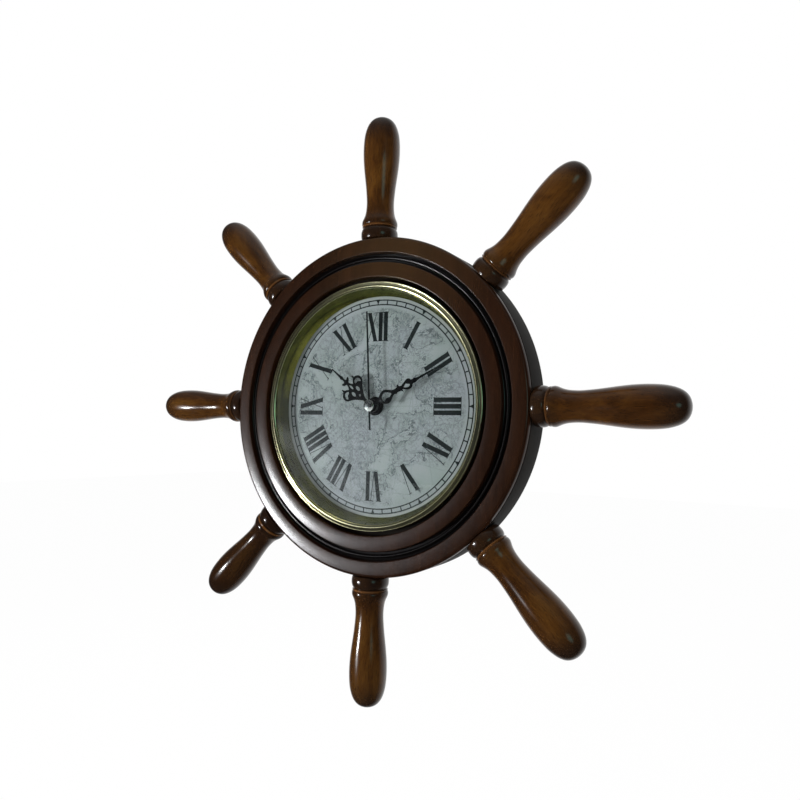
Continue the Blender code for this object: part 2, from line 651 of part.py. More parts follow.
def build_minute_hand(axis):
    """Pierced minute hand: two loops with a ball in each, a knot between them, and a long point."""
    right = smooth_run(MINUTE_RIGHT, CURVE_STEPS) + MINUTE_RIGHT_LEAF
    right += smooth_run(MINUTE_RIGHT_RING, CURVE_STEPS)
    left = smooth_run(MINUTE_LEFT, CURVE_STEPS) + MINUTE_LEFT_LEAF
    left += smooth_run(MINUTE_LEFT_RING, CURVE_STEPS)
    half_tip = MINUTE_TIP_WIDTH * MM / 2
    shoulder = MINUTE_LENGTH - HAND_TIP
    point = [(half_tip, shoulder), (0, MINUTE_LENGTH), (-half_tip, shoulder)]
    outline = hub_arc(MINUTE_BOSS, MINUTE_WAIST * MM) + in_mm(right) + point
    outline += list(reversed(in_mm(left)))
    holes = [
        circle(MINUTE_TUBE + GAP, SMALL_STEPS),
        in_mm(smooth_loop(MINUTE_HOLE, CURVE_STEPS)),
        in_mm(smooth_loop(MINUTE_RING_HOLE, CURVE_STEPS)),
    ]
    hand = flat("minute_hand", [outline] + holes, MINUTE_HEIGHT, MINUTE_HEIGHT + HAND_SHEET)
    return place(hand, BLACK, parent=axis)


def build_second_hand(axis):
    """Plain needle with a counter tail, and the polished cap that covers its boss."""
    half = SECOND_WIDTH / 2
    turn = math.degrees(math.asin(half / SECOND_BOSS))
    outline = arc((0, 0), SECOND_BOSS, turn - 90, 90 - turn, 6)
    outline += [(SECOND_TIP_WIDTH / 2, SECOND_LENGTH), (-SECOND_TIP_WIDTH / 2, SECOND_LENGTH)]
    outline += arc((0, 0), SECOND_BOSS, 90 + turn, 270 - turn, 6)
    outline += [(-half, -SECOND_TAIL), (half, -SECOND_TAIL)]
    hand = flat("second_hand", [outline], SECOND_HEIGHT, SECOND_HEIGHT + HAND_SHEET)
    place(hand, BLACK, parent=axis)
    profile = [(0, CAP_BASE + CAP_DEPTH)]
    for share in (0.45, 0.75, 0.93):
        profile.append((CAP_RADIUS * share, CAP_BASE + CAP_DEPTH * math.sqrt(1 - share ** 2.4)))
    profile += [(CAP_RADIUS, CAP_BASE + CAP_DEPTH * 0.25), (CAP_RADIUS, CAP_BASE), (0, CAP_BASE)]
    place(turned("hand_cap", profile, SMALL_STEPS), CHROME, parent=axis)


def build_hanger():
    """Steel keyhole plate let in flush, and its two countersunk screws."""
    head = (0, HANGER_PLACE - KEYHOLE_TRAVEL / 2)
    top = (0, HANGER_PLACE + KEYHOLE_TRAVEL / 2)
    entry = math.degrees(math.asin(KEYHOLE_SLOT / KEYHOLE_HEAD))
    keyhole = arc(head, KEYHOLE_HEAD, 90 + entry, 450 - entry, 12) + arc(top, KEYHOLE_SLOT, 0, 180, 6)
    outline = rounded_box(HANGER_WIDTH, HANGER_DEPTH, HANGER_CORNER, (0, HANGER_PLACE))
    holes = [keyhole]
    for side in (-1, 1):
        holes.append(circle(SCREW_HEAD + GAP, PIN_STEPS, (side * SCREW_SPREAD, HANGER_PLACE)))
    place(flat("hanger_plate", [outline] + holes, GAP, GAP + HANGER_SHEET), STEEL)
    for side, name in ((-1, "hanger_screw_left"), (1, "hanger_screw_right")):
        profile = [
            (0, SCREW_LENGTH),
            (SCREW_RADIUS * 0.3, SCREW_LENGTH),
            (SCREW_RADIUS, SCREW_LENGTH - SCREW_POINT),
            (SCREW_RADIUS, GAP + HANGER_SHEET),
            (SCREW_HEAD, GAP + SCREW_HEAD_EDGE),
            (SCREW_HEAD, GAP),
            (0, GAP),
        ]
        place(turned(name, profile, PIN_STEPS), STEEL, location=(side * SCREW_SPREAD, HANGER_PLACE, 0))


def tooth_outline(teeth, module, phase):
    """Outline of a small wheel with plain pointed teeth; phase is in tooth pitches."""
    points = []
    root = module * (teeth / 2 - TOOTH_BELOW)
    tip = module * (teeth / 2 + TOOTH_ABOVE)
    for i in range(teeth):
        for radius, offset in ((root, -TOOTH_HALF_ROOT), (tip, 0.0), (root, TOOTH_HALF_ROOT)):
            angle = 2 * math.pi * (i + phase + offset) / teeth
            points.append((radius * math.cos(angle), radius * math.sin(angle)))
    return points


def train_wheel(name, discs, arbor, material, axis, bore=0.0):
    """One arbor with its toothed discs, each a (teeth, module, phase, low, high)."""
    radius, low, high = arbor
    steps = SMALL_STEPS if bore else PIN_STEPS
    piece = place(turned(name, rod(radius, low, high), steps), material, parent=axis)
    for number, (teeth, module, phase, base, top) in enumerate(discs):
        disc = flat(f"{name}_disc_{number + 1}", [tooth_outline(teeth, module, phase)], base, top)
        cut(piece, disc, "UNION", parent=axis)
    if bore:
        hole = turned(f"{name}_bore", rod(bore, low - OVERCUT, high + OVERCUT), SMALL_STEPS)
        cut(piece, hole, parent=axis)
    return piece


def module_for(distance, teeth_a, teeth_b):
    """Module that puts two meshing wheels at a given distance."""
    return 2 * distance / (teeth_a + teeth_b)


def second_wheel_module():
    """Module that lets the second wheel's teeth just clear the third wheel's arbor."""
    return (THIRD_DISTANCE - PIVOT_RADIUS - RUN) / (SECOND_TEETH / 2 + TOOTH_ABOVE)


def intermediate_distance():
    """From the clock's axis to the intermediate wheel's."""
    return second_wheel_module() * (SECOND_TEETH + INTERMEDIATE_PINION_TEETH) / 2


def knob_distance():
    """From the motion wheel's axis to the setting knob's; their teeth share one module."""
    return MOTION_DISTANCE * (KNOB_TEETH + MOTION_TEETH) / (CANNON_TEETH + MOTION_TEETH)


def mesh_phase(teeth, direction, driver_teeth, driver_phase):
    """Phase that puts a gap of this wheel on a tooth of its driver.

    direction is the angle, in degrees, from the driver's axis to this wheel's axis.
    """
    turns = direction / 360
    driver_offset = turns * driver_teeth - driver_phase
    return (turns + 0.5) * teeth + driver_offset + 0.5


def rotor_place():
    """The rotor's axis, beside the intermediate wheel."""
    angle = math.radians(ROTOR_DIRECTION)
    return intermediate_distance() + ROTOR_DISTANCE * math.cos(angle), ROTOR_DISTANCE * math.sin(angle)


def build_train(second_axis, minute_axis, hour_axis):
    """Nylon wheels between the motor and the hands."""
    thick = WHEEL_THICKNESS
    pivot_low = COVER_INSIDE + GAP
    pivot_high = SHELL_INSIDE - GAP
    second_turn = SECOND_DEG / 360
    minute_turn = MINUTE_DEG / 360
    hour_turn = HOUR_DEG / 360

    third_module = module_for(THIRD_DISTANCE, SECOND_PINION_TEETH, THIRD_TEETH)
    centre_module = module_for(THIRD_DISTANCE, THIRD_PINION_TEETH, CENTRE_TEETH)
    motion_module = module_for(MOTION_DISTANCE, CANNON_TEETH, MOTION_TEETH)
    hour_module = module_for(MOTION_DISTANCE, MOTION_PINION_TEETH, HOUR_TEETH)
    second_module = second_wheel_module()
    rotor_module = module_for(ROTOR_DISTANCE, ROTOR_PINION_TEETH, INTERMEDIATE_TEETH)

    train_wheel(
        "second_wheel",
        [
            (
                SECOND_TEETH,
                second_module,
                second_turn * SECOND_TEETH,
                SECOND_WHEEL_HEIGHT,
                SECOND_WHEEL_HEIGHT + thick,
            ),
            (
                SECOND_PINION_TEETH,
                third_module,
                second_turn * SECOND_PINION_TEETH,
                SECOND_WHEEL_HEIGHT + thick / 2,
                THIRD_WHEEL_HEIGHT + thick,
            ),
        ],
        (SECOND_ARBOR, pivot_low, SECOND_HEIGHT - GAP),
        WHITE_PLASTIC,
        second_axis,
    )

    third_axis = axis_empty("third_axis", 0, THIRD_DISTANCE)
    third_phase = mesh_phase(THIRD_TEETH, 90, SECOND_PINION_TEETH, 0)
    third_pinion_phase = 0.0
    train_wheel(
        "third_wheel",
        [
            (THIRD_TEETH, third_module, third_phase, THIRD_WHEEL_HEIGHT, THIRD_WHEEL_HEIGHT + thick),
            (
                THIRD_PINION_TEETH,
                centre_module,
                third_pinion_phase,
                THIRD_WHEEL_HEIGHT + thick / 2,
                CENTRE_WHEEL_HEIGHT + thick,
            ),
        ],
        (PIVOT_RADIUS, pivot_low, pivot_high),
        WHITE_PLASTIC,
        third_axis,
    )

    centre_phase = mesh_phase(CENTRE_TEETH, 270, THIRD_PINION_TEETH, third_pinion_phase)
    centre = flat(
        "centre_wheel",
        [
            tooth_outline(CENTRE_TEETH, centre_module, centre_phase + minute_turn * CENTRE_TEETH),
            circle(MINUTE_TUBE + GAP, SMALL_STEPS),
        ],
        CENTRE_WHEEL_HEIGHT,
        CENTRE_WHEEL_HEIGHT + thick,
    )
    place(centre, WHITE_PLASTIC, parent=minute_axis)
    train_wheel(
        "minute_arbor",
        [
            (
                CANNON_TEETH,
                motion_module,
                minute_turn * CANNON_TEETH,
                CANNON_HEIGHT,
                CANNON_HEIGHT + thick,
            ),
        ],
        (MINUTE_TUBE, CENTRE_WHEEL_HEIGHT - RUN, MINUTE_HEIGHT + HAND_SHEET),
        BRASS,
        minute_axis,
        bore=MINUTE_TUBE - TUBE_WALL,
    )

    motion_axis = axis_empty("motion_axis", -MOTION_DISTANCE, 0)
    motion_phase = mesh_phase(MOTION_TEETH, 180, CANNON_TEETH, 0)
    train_wheel(
        "motion_wheel",
        [
            (MOTION_TEETH, motion_module, motion_phase, CANNON_HEIGHT, CANNON_HEIGHT + thick),
            (MOTION_PINION_TEETH, hour_module, 0, CANNON_HEIGHT + thick / 2, HOUR_WHEEL_HEIGHT + thick),
        ],
        (PIVOT_RADIUS, CANNON_HEIGHT - GAP, pivot_high),
        WHITE_PLASTIC,
        motion_axis,
    )
    hour_phase = mesh_phase(HOUR_TEETH, 0, MOTION_PINION_TEETH, 0)
    train_wheel(
        "hour_wheel",
        [
            (
                HOUR_TEETH,
                hour_module,
                hour_phase + hour_turn * HOUR_TEETH,
                HOUR_WHEEL_HEIGHT,
                HOUR_WHEEL_HEIGHT + thick,
            ),
        ],
        (HOUR_TUBE, HOUR_WHEEL_HEIGHT, HOUR_HEIGHT + HAND_SHEET),
        WHITE_PLASTIC,
        hour_axis,
        bore=HOUR_TUBE - TUBE_WALL,
    )

    knob_axis = axis_empty("knob_axis", -MOTION_DISTANCE - knob_distance(), 0)
    knob_phase = mesh_phase(KNOB_TEETH, 180, MOTION_TEETH, motion_phase)
    knob = train_wheel(
        "setting_knob",
        [(KNOB_TEETH, motion_module, knob_phase, CANNON_HEIGHT, CANNON_HEIGHT + thick)],
        (KNOB_SHAFT, MOVEMENT_BACK, pivot_high),
        WHITE_PLASTIC,
        knob_axis,
    )
    grip = turned("knob_grip", rod(KNOB_RADIUS, MOVEMENT_BACK, MOVEMENT_BACK + KNOB_THICKNESS), SMALL_STEPS)
    cut(knob, grip, "UNION", parent=knob_axis)

    intermediate_axis = axis_empty("intermediate_axis", intermediate_distance(), 0)
    pinion_phase = mesh_phase(INTERMEDIATE_PINION_TEETH, 0, SECOND_TEETH, 0)
    train_wheel(
        "intermediate_wheel",
        [
            (INTERMEDIATE_TEETH, rotor_module, 0, INTERMEDIATE_HEIGHT, INTERMEDIATE_HEIGHT + thick),
            (
                INTERMEDIATE_PINION_TEETH,
                second_module,
                pinion_phase,
                INTERMEDIATE_HEIGHT + thick / 2,
                SECOND_WHEEL_HEIGHT + thick,
            ),
        ],
        (PIVOT_RADIUS, pivot_low, pivot_high),
        WHITE_PLASTIC,
        intermediate_axis,
    )

    rotor_axis = axis_empty("rotor_axis", *rotor_place())
    rotor_phase = mesh_phase(ROTOR_PINION_TEETH, ROTOR_DIRECTION, INTERMEDIATE_TEETH, 0)
    rotor = train_wheel(
        "rotor",
        [
            (
                ROTOR_PINION_TEETH,
                rotor_module,
                rotor_phase,
                INTERMEDIATE_HEIGHT,
                INTERMEDIATE_HEIGHT + thick,
            ),
        ],
        (PIVOT_RADIUS, pivot_low, pivot_high),
        BLACK_PLASTIC,
        rotor_axis,
    )
    magnet_low = stator_middle() - MAGNET_HALF
    magnet = turned("rotor_magnet", rod(MAGNET_RADIUS, magnet_low, magnet_low + 2 * MAGNET_HALF), SMALL_STEPS)
    cut(rotor, magnet, "UNION", parent=rotor_axis)


def battery_centre():
    """Middle of the battery bay, below the wheels."""
    return -MOVEMENT_SIDE / 2 + BAY_WALL + GAP + BATTERY_RADIUS


def bay_edge():
    """Inner edge of the battery bay."""
    return battery_centre() + BATTERY_RADIUS + GAP


def stator_middle():
    """Height of the stator plate's middle: a layer's air above the intermediate wheel's pinion."""
    return THIRD_WHEEL_HEIGHT + LAYER / 2 + STATOR_SHEET / 2


def stator_legs():
    """Where the stator's legs stand, across: between the intermediate wheel's arbor and the shell."""
    left = intermediate_distance() + PIVOT_RADIUS + RUN + STATOR_LEG / 2
    right = MOVEMENT_SIDE / 2 - SHELL_WALL - STATOR_ROOM - STATOR_LEG / 2
    return left, right


def coil_place():
    """Middle of the coil, across and up: half way between the legs, under the shell's top side."""
    return sum(stator_legs()) / 2, MOVEMENT_SIDE / 2 - SHELL_WALL - COIL_ROOM - BOBBIN_RADIUS


def build_movement_housing():
    """Moulded shell, open at the back, with its cover and the threaded bush."""
    side = MOVEMENT_SIDE
    inner = side / 2 - SHELL_WALL
    low = COVER_INSIDE + GAP
    body = rounded_box(side, side, MOVEMENT_CORNER)
    shell = place(flat("movement_shell", [body], low, SHELL_FRONT), BLACK_PLASTIC)
    wheel_low = bay_edge() + BAY_WALL
    room_outline = rounded_box(2 * inner, inner - wheel_low, ROOM_CORNER, (0, (inner + wheel_low) / 2))
    cut(shell, flat("wheel_room", [room_outline], -OVERCUT, SHELL_INSIDE))
    bay_outline = rounded_box(2 * inner, 2 * (BATTERY_RADIUS + GAP), ROOM_CORNER, (0, battery_centre()))
    cut(shell, flat("battery_bay", [bay_outline], -OVERCUT, BAY_TOP))
    cut(shell, turned("bush_hole", rod(BUSH_RADIUS + GAP, low, SHELL_FRONT + OVERCUT), SMALL_STEPS))
    post_low = stator_middle() + STATOR_SHEET / 2 + GAP
    for x in stator_legs():
        post = turned("stator_post", rod(POST_RADIUS, post_low, SHELL_FRONT - GAP), PIN_STEPS)
        cut(shell, post, "UNION", location=(x, rotor_place()[1], 0))

    knob_hole = circle(KNOB_RADIUS + RUN, SMALL_STEPS, (-MOTION_DISTANCE - knob_distance(), 0))
    cover = flat("movement_cover", [body, bay_outline, knob_hole], MOVEMENT_BACK, COVER_INSIDE)
    place(cover, BLACK_PLASTIC)

    profile = [
        (BUSH_RADIUS, BUSH_TOP),
        (BUSH_RADIUS, BUSH_FLANGE_TOP),
        (BUSH_RADIUS + BUSH_FLANGE, BUSH_FLANGE_TOP),
        (BUSH_RADIUS + BUSH_FLANGE, BUSH_FLANGE_TOP - BUSH_FLANGE_DEPTH),
        (HOUR_TUBE + RUN, BUSH_FLANGE_TOP - BUSH_FLANGE_DEPTH),
        (HOUR_TUBE + RUN, BUSH_TOP),
    ]
    place(turned("threaded_bush", profile, SMALL_STEPS), BLACK_PLASTIC)


def build_dial_fixings():
    """Washer and hexagon nut that clamp the dial to the movement."""
    washer = tube(BUSH_RADIUS + GAP, WASHER_RADIUS, DIAL_FACE + GAP, WASHER_FACE)
    place(turned("dial_washer", washer, SMALL_STEPS), BLACK)
    corner = NUT_FLATS / 2 / math.cos(math.pi / 6)
    outlines = [circle(corner, 6), circle(BUSH_RADIUS + GAP, SMALL_STEPS)]
    place(flat("dial_nut", outlines, NUT_TOP - NUT_THICKNESS, NUT_TOP), BLACK)


def build_motor():
    """Stepping motor: stator plate, coil, and the circuit board that drives it."""
    rotor_x, rotor_y = rotor_place()
    coil_x, coil_y = coil_place()
    left, right = stator_legs()
    half = (right - left) / 2 - COIL_CLEAR
    leg = STATOR_LEG / 2
    top = coil_y + leg
    yoke = rotor_y + MAGNET_RADIUS + STATOR_POLE
    low = rotor_y - MAGNET_RADIUS - STATOR_POLE
    outline = [
        (left - leg, low), (right + leg, low), (right + leg, top), (right - leg, top),
        (right - leg, yoke), (left + leg, yoke), (left + leg, top), (left - leg, top),
    ]
    outlines = [outline, circle(MAGNET_RADIUS + RUN, SMALL_STEPS, (rotor_x, rotor_y))]
    sheet = STATOR_SHEET / 2
    place(flat("stator", outlines, stator_middle() - sheet, stator_middle() + sheet), STEEL)

    inside = half - COIL_FLANGE
    profile = [
        (0, half), (BOBBIN_RADIUS, half), (BOBBIN_RADIUS, inside), (COIL_RADIUS, inside),
        (COIL_RADIUS, -inside), (BOBBIN_RADIUS, -inside), (BOBBIN_RADIUS, -half), (0, -half),
    ]
    coil = turned("coil", profile, SMALL_STEPS)
    place(coil, COPPER, location=(coil_x, coil_y, stator_middle()), rotation=(0, math.pi / 2, 0))

    inner = MOVEMENT_SIDE / 2 - SHELL_WALL - GAP
    middle = ((BOARD_LEFT + inner) / 2, (BOARD_LOW + inner) / 2)
    outline = rounded_box(inner - BOARD_LEFT, inner - BOARD_LOW, ROOM_CORNER, middle)
    high = SHELL_INSIDE - GAP
    place(flat("circuit_board", [outline], high - BOARD_THICKNESS, high), GREEN_BOARD)


def build_battery():
    """One AA cell and the two sprung contacts at the ends of its bay."""
    half = BATTERY_LENGTH / 2
    ease = BATTERY_EASE
    profile = [
        (0, half + BATTERY_NUB_LENGTH), (BATTERY_NUB_RADIUS, half + BATTERY_NUB_LENGTH),
        (BATTERY_NUB_RADIUS, half), (BATTERY_RADIUS - ease, half), (BATTERY_RADIUS, half - ease),
        (BATTERY_RADIUS, ease - half), (BATTERY_RADIUS - ease, -half), (0, -half),
    ]
    location = (-BATTERY_NUB_LENGTH / 2, battery_centre(), BATTERY_HEIGHT)
    place(turned("battery", profile, SMALL_STEPS), CELL, location=location, rotation=(0, math.pi / 2, 0))

    wall_face = MOVEMENT_SIDE / 2 - SHELL_WALL - GAP
    reach = half + BATTERY_NUB_LENGTH / 2 + GAP
    sheet = CONTACT_SHEET
    for side, name in ((-1, "contact_negative"), (1, "contact_positive")):
        tall = CONTACT_HEIGHT
        outline = [
            (reach, -tall), (reach + sheet, -tall), (reach + sheet, tall - sheet),
            (wall_face, tall - sheet), (wall_face, tall), (reach, tall),
        ]
        strip = flat(name, [outline], -CONTACT_WIDTH / 2, CONTACT_WIDTH / 2)
        place(
            strip,
            STEEL,
            location=(0, battery_centre(), BATTERY_HEIGHT),
            rotation=(math.pi / 2, 0, math.pi if side < 0 else 0),
        )


second_axis = axis_empty("second_axis", degrees=SECOND_DEG)
minute_axis = axis_empty("minute_axis", degrees=MINUTE_DEG)
hour_axis = axis_empty("hour_axis", degrees=HOUR_DEG)

build_case_body()
build_front_rim()
build_handles()
build_bezel()
build_glass()
build_sight_ring()
build_dial()
build_hour_hand(hour_axis)
build_minute_hand(minute_axis)
build_second_hand(second_axis)
build_hanger()
build_movement_housing()
build_dial_fixings()
build_train(second_axis, minute_axis, hour_axis)
build_motor()
build_battery()
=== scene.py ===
import math

import bmesh
import bpy
from mathutils import Matrix, Vector


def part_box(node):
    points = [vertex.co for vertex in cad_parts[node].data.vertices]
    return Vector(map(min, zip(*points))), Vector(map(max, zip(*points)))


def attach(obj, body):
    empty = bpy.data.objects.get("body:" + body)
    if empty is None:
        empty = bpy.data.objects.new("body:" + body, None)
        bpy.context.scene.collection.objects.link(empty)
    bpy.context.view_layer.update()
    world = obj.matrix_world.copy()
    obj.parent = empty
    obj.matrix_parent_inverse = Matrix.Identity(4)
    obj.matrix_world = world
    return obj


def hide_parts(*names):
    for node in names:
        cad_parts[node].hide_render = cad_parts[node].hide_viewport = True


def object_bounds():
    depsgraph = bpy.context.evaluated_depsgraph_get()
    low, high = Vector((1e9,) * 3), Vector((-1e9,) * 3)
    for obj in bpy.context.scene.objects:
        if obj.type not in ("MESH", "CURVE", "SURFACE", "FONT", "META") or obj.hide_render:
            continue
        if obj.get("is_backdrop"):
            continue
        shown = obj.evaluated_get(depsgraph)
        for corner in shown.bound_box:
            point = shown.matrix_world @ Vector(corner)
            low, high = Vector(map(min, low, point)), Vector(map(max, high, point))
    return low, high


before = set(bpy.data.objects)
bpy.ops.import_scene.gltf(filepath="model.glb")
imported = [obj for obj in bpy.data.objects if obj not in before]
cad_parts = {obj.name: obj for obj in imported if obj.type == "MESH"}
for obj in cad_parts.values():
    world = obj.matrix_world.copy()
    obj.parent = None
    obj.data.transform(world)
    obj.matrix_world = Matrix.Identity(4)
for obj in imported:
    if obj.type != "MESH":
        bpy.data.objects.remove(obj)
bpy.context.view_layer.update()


# Case: a thick ring turned from wood, stained nearly black under a thin satin lacquer that has
# stayed dull. It is recessed in front for the dial and bored through for the movement, and the
# handles' tenons, the hanger plate and its screws are let into it.
MM = 0.001


def span(cad_name):
    """Back and front of a CAD node as heights from the wall, and its half width."""
    low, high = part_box(cad_name)
    return -high.y, -low.y, high.x


CLEARANCE = 0.3 * MM
_, CASE_DEPTH, CASE_RADIUS = span("case_body")
CASE_ROUND = 1.2 * MM
HANDLE_COUNT = 8
HANDLE_HEIGHT = 17.5 * MM
SOCKET_RADIUS = 5.3 * MM
SOCKET_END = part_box("handle_1")[0].z - CLEARANCE
DIAL_SEAT = span("dial")[0] - CLEARANCE
MOVEMENT_HOLE = 43.0 * MM
INSERT_BORE = span("bezel")[2] + CLEARANCE
HANGER_Z = 88.0 * MM
HANGER_SIZE = (38.0 * MM, 22.0 * MM)
HANGER_CORNER = 3.0 * MM
HANGER_SHEET = 1.5 * MM
NAIL_ROOM = (11.6 * MM, 19.6 * MM, 4.8 * MM)
NAIL_POCKET = 8.0 * MM
SCREW_SPREAD = 14.0 * MM
SCREW_HOLE = (2.05 * MM, 9.6 * MM)
DULL_SIDE = 0.02
ON_WALL = Matrix.Rotation(math.pi / 2, 4, "X")


def arc(centre, radius, start, end, count):
    """Points of an arc in degrees, both ends included."""
    points = []
    for i in range(count + 1):
        angle = math.radians(start + (end - start) * i / count)
        points.append((centre[0] + radius * math.cos(angle), centre[1] + radius * math.sin(angle)))
    return points


def smoothed(mesh, angle):
    """Round faces shaded round, with the real edges left sharp."""
    mesh.shade_smooth()
    mesh.set_sharp_from_angle(angle=math.radians(angle))


def new_object(name, data):
    """A mesh, curve, lamp or camera put into the scene."""
    made = bpy.data.objects.new(name, data)
    bpy.context.collection.objects.link(made)
    return made


def closed_shape(name, shape, place, angle=None):
    """A piece from a closed shape's faces, all turned outwards, set in its place."""
    bmesh.ops.recalc_face_normals(shape, faces=shape.faces)
    mesh = bpy.data.meshes.new(name)
    shape.to_mesh(mesh)
    shape.free()
    mesh.transform(place)
    if angle:
        smoothed(mesh, angle)
    return new_object(name, mesh)


def as_built(piece):
    """The mesh of a piece with its modifiers or its curve worked out."""
    bpy.context.view_layer.update()
    return bpy.data.meshes.new_from_object(piece.evaluated_get(bpy.context.evaluated_depsgraph_get()))


def turned(name, profile, steps, place=ON_WALL):
    """A piece turned on a lathe, from (radius, height) points that run round its section."""
    shape = bmesh.new()
    rings = []
    for radius, height in profile:
        count = steps if radius > 0 else 1
        ring = []
        for i in range(count):
            angle = math.tau * i / steps
            ring.append(shape.verts.new((radius * math.cos(angle), radius * math.sin(angle), height)))
        rings.append(ring)
    pairs = list(zip(rings, rings[1:]))
    if len(rings[0]) > 1 and len(rings[-1]) > 1:
        pairs.append((rings[-1], rings[0]))
    for first, second in pairs:
        for i in range(steps):
            j = (i + 1) % steps
            corners = [first[i % len(first)], first[j % len(first)], second[j % len(second)], second[i % len(second)]]
            corners = list(dict.fromkeys(corners))
            if len(corners) > 2:
                shape.faces.new(corners)
    return closed_shape(name, shape, place, 28)


def rounded_box(width, depth, corner, centre=(0, 0), count=6):
    """A closed rectangle with round corners."""
    points = []
    for sign_x, sign_y, start in ((1, 1, 0), (-1, 1, 90), (-1, -1, 180), (1, -1, 270)):
        middle = (centre[0] + sign_x * (width / 2 - corner), centre[1] + sign_y * (depth / 2 - corner))
        points += arc(middle, corner, start, start + 90, count)
    return points


def sheet_piece(name, outlines, low, high, ease=0.0, place=ON_WALL):
    """A flat piece between two heights, from closed outlines; the inner ones are holes.

    ease rounds its edges inwards, so the outline keeps its size.
    """
    curve = bpy.data.curves.new(name, "CURVE")
    curve.dimensions = "2D"
    curve.fill_mode = "BOTH"
    curve.extrude = (high - low) / 2 - ease
    curve.bevel_depth = ease
    curve.bevel_resolution = 2
    curve.offset = -ease
    for outline in outlines:
        spline = curve.splines.new("POLY")
        spline.points.add(len(outline) - 1)
        for point, (x, y) in zip(spline.points, outline):
            point.co = (x, y, 0, 1)
        spline.use_cyclic_u = True
    drawn = new_object(name, curve)
    mesh = as_built(drawn)
    bpy.data.objects.remove(drawn, do_unlink=True)
    bpy.data.curves.remove(curve)
    shape = bmesh.new()
    shape.from_mesh(mesh)
    bpy.data.meshes.remove(mesh)
    bmesh.ops.remove_doubles(shape, verts=shape.verts, dist=0.000001)
    return closed_shape(name, shape, place @ Matrix.Translation((0, 0, (low + high) / 2)), 40)


def cut_out(piece, tools):
    """Cuts the tools' shapes out of a piece and clears the tools away."""
    for tool in tools:
        cutter = piece.modifiers.new("cut", "BOOLEAN")
        cutter.operation = "DIFFERENCE"
        cutter.solver = "EXACT"
        cutter.object = tool
    mesh = as_built(piece)
    piece.modifiers.clear()
    piece.data = mesh
    smoothed(mesh, 28)
    for tool in tools:
        bpy.data.objects.remove(tool, do_unlink=True)


def is_socket(value):
    """True for another node's output, False for a number or a colour."""
    return isinstance(value, bpy.types.NodeSocket)


def node(kind, inputs=None, tree=None, **settings):
    """A node with its settings and inputs, in the tree of its linked inputs if none is given."""
    inputs = inputs or {}
    for value in inputs.values():
        tree = value.id_data if is_socket(value) else tree
    made = tree.nodes.new(kind)
    for name, value in settings.items():
        setattr(made, name, value)
    for key, value in inputs.items():
        if is_socket(value):
            tree.links.new(value, made.inputs[key])
        else:
            made.inputs[key].default_value = value
    return made


def new_finish(name, roughness, metallic=0.0):
    """A fresh material with the plain values of its shader set."""
    finish = bpy.data.materials.new(name)
    finish.use_nodes = True
    shader = finish.node_tree.nodes["Principled BSDF"]
    shader.inputs["Roughness"].default_value = roughness
    shader.inputs["Metallic"].default_value = metallic
    return finish, shader


def feed(shader, name, value):
    """Lets another node's output lead one input of a shader."""
    value.id_data.links.new(value, shader.inputs[name])


def own_place(shader):
    """Where a point is on the piece, in the part's own metres."""
    return node("ShaderNodeTexCoord", tree=shader.id_data).outputs["Object"]


def stretched(place, stretch):
    """A pattern's coordinates, squeezed along each axis by its own factor."""
    return node("ShaderNodeMapping", {"Vector": place, "Scale": stretch}).outputs[0]


def speckle(place, scale, detail=4.0, roughness=0.55, distortion=0.0, output="Fac"):
    """Cloudy noise between nought and one."""
    inputs = {"Vector": place, "Scale": scale, "Detail": detail, "Roughness": roughness, "Distortion": distortion}
    return node("ShaderNodeTexNoise", inputs).outputs[output]


def shades(value, stops):
    """Colours along a value, from (place, colour) pairs."""
    made = node("ShaderNodeValToRGB", {"Fac": value})
    ramp = made.color_ramp
    while len(ramp.elements) < len(stops):
        ramp.elements.new(0.5)
    for element, (place, colour) in zip(ramp.elements, stops):
        element.position = place
        element.color = (*colour, 1.0)
    return made.outputs["Color"]


def levels(value, low, high, to_low=0.0, to_high=1.0):
    """A value spread from one range to another, and held at the ends."""
    inputs = {"Value": value, "From Min": low, "From Max": high, "To Min": to_low, "To Max": to_high}
    return node("ShaderNodeMapRange", inputs).outputs["Result"]


def sums(operation, first, second=0.0):
    """One step of arithmetic on two values."""
    return node("ShaderNodeMath", {0: first, 1: second}, operation=operation).outputs[0]


def relief(shader, height, depth):
    """Fine relief on the surface, depth in metres."""
    bump = node("ShaderNodeBump", {"Height": height, "Distance": depth, "Strength": 1.0})
    feed(shader, "Normal", bump.outputs["Normal"])


def product(first, second):
    """Two values multiplied."""
    return sums("MULTIPLY", first, second)


def rough(shader, value, low, high):
    """Roughness between two ends, led by a cloudy value."""
    feed(shader, "Roughness", levels(value, 0.3, 0.7, low, high))


def fitted(piece, finish, replaces=None, body="case"):
    """Gives a piece its finish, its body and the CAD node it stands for."""
    piece.data.materials.append(finish)
    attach(piece, body)
    if replaces:
        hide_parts(replaces)


def stained_wood(name, dark, light, roughness):
    """Wood of one plank, its grain upright, stained and finished."""
    finish, shader = new_finish(name, roughness)
    place = own_place(shader)
    broad = speckle(stretched(place, (90, 60, 9)), 1.0, 5.0, 0.6, 0.4)
    fine = speckle(stretched(place, (1300, 900, 70)), 1.0, 3.0, 0.6)
    grain = sums("ADD", product(broad, 0.7), product(fine, 0.3))
    colour = shades(grain, [(0.33, dark), (0.66, light)])
    feed(shader, "Base Color", colour)
    rough(shader, speckle(place, 420.0, 3.0), roughness - 0.02, roughness + 0.02)
    pores = sums("ADD", fine, speckle(place, 2400.0, 2.0))
    relief(shader, pores, 0.000012)
    return finish, shader, colour, place


case_wood, shader, *_ = stained_wood("case_wood", (0.005, 0.0042, 0.0035), (0.0126, 0.0102, 0.0081), 0.5)
shader.inputs["Specular IOR Level"].default_value = DULL_SIDE

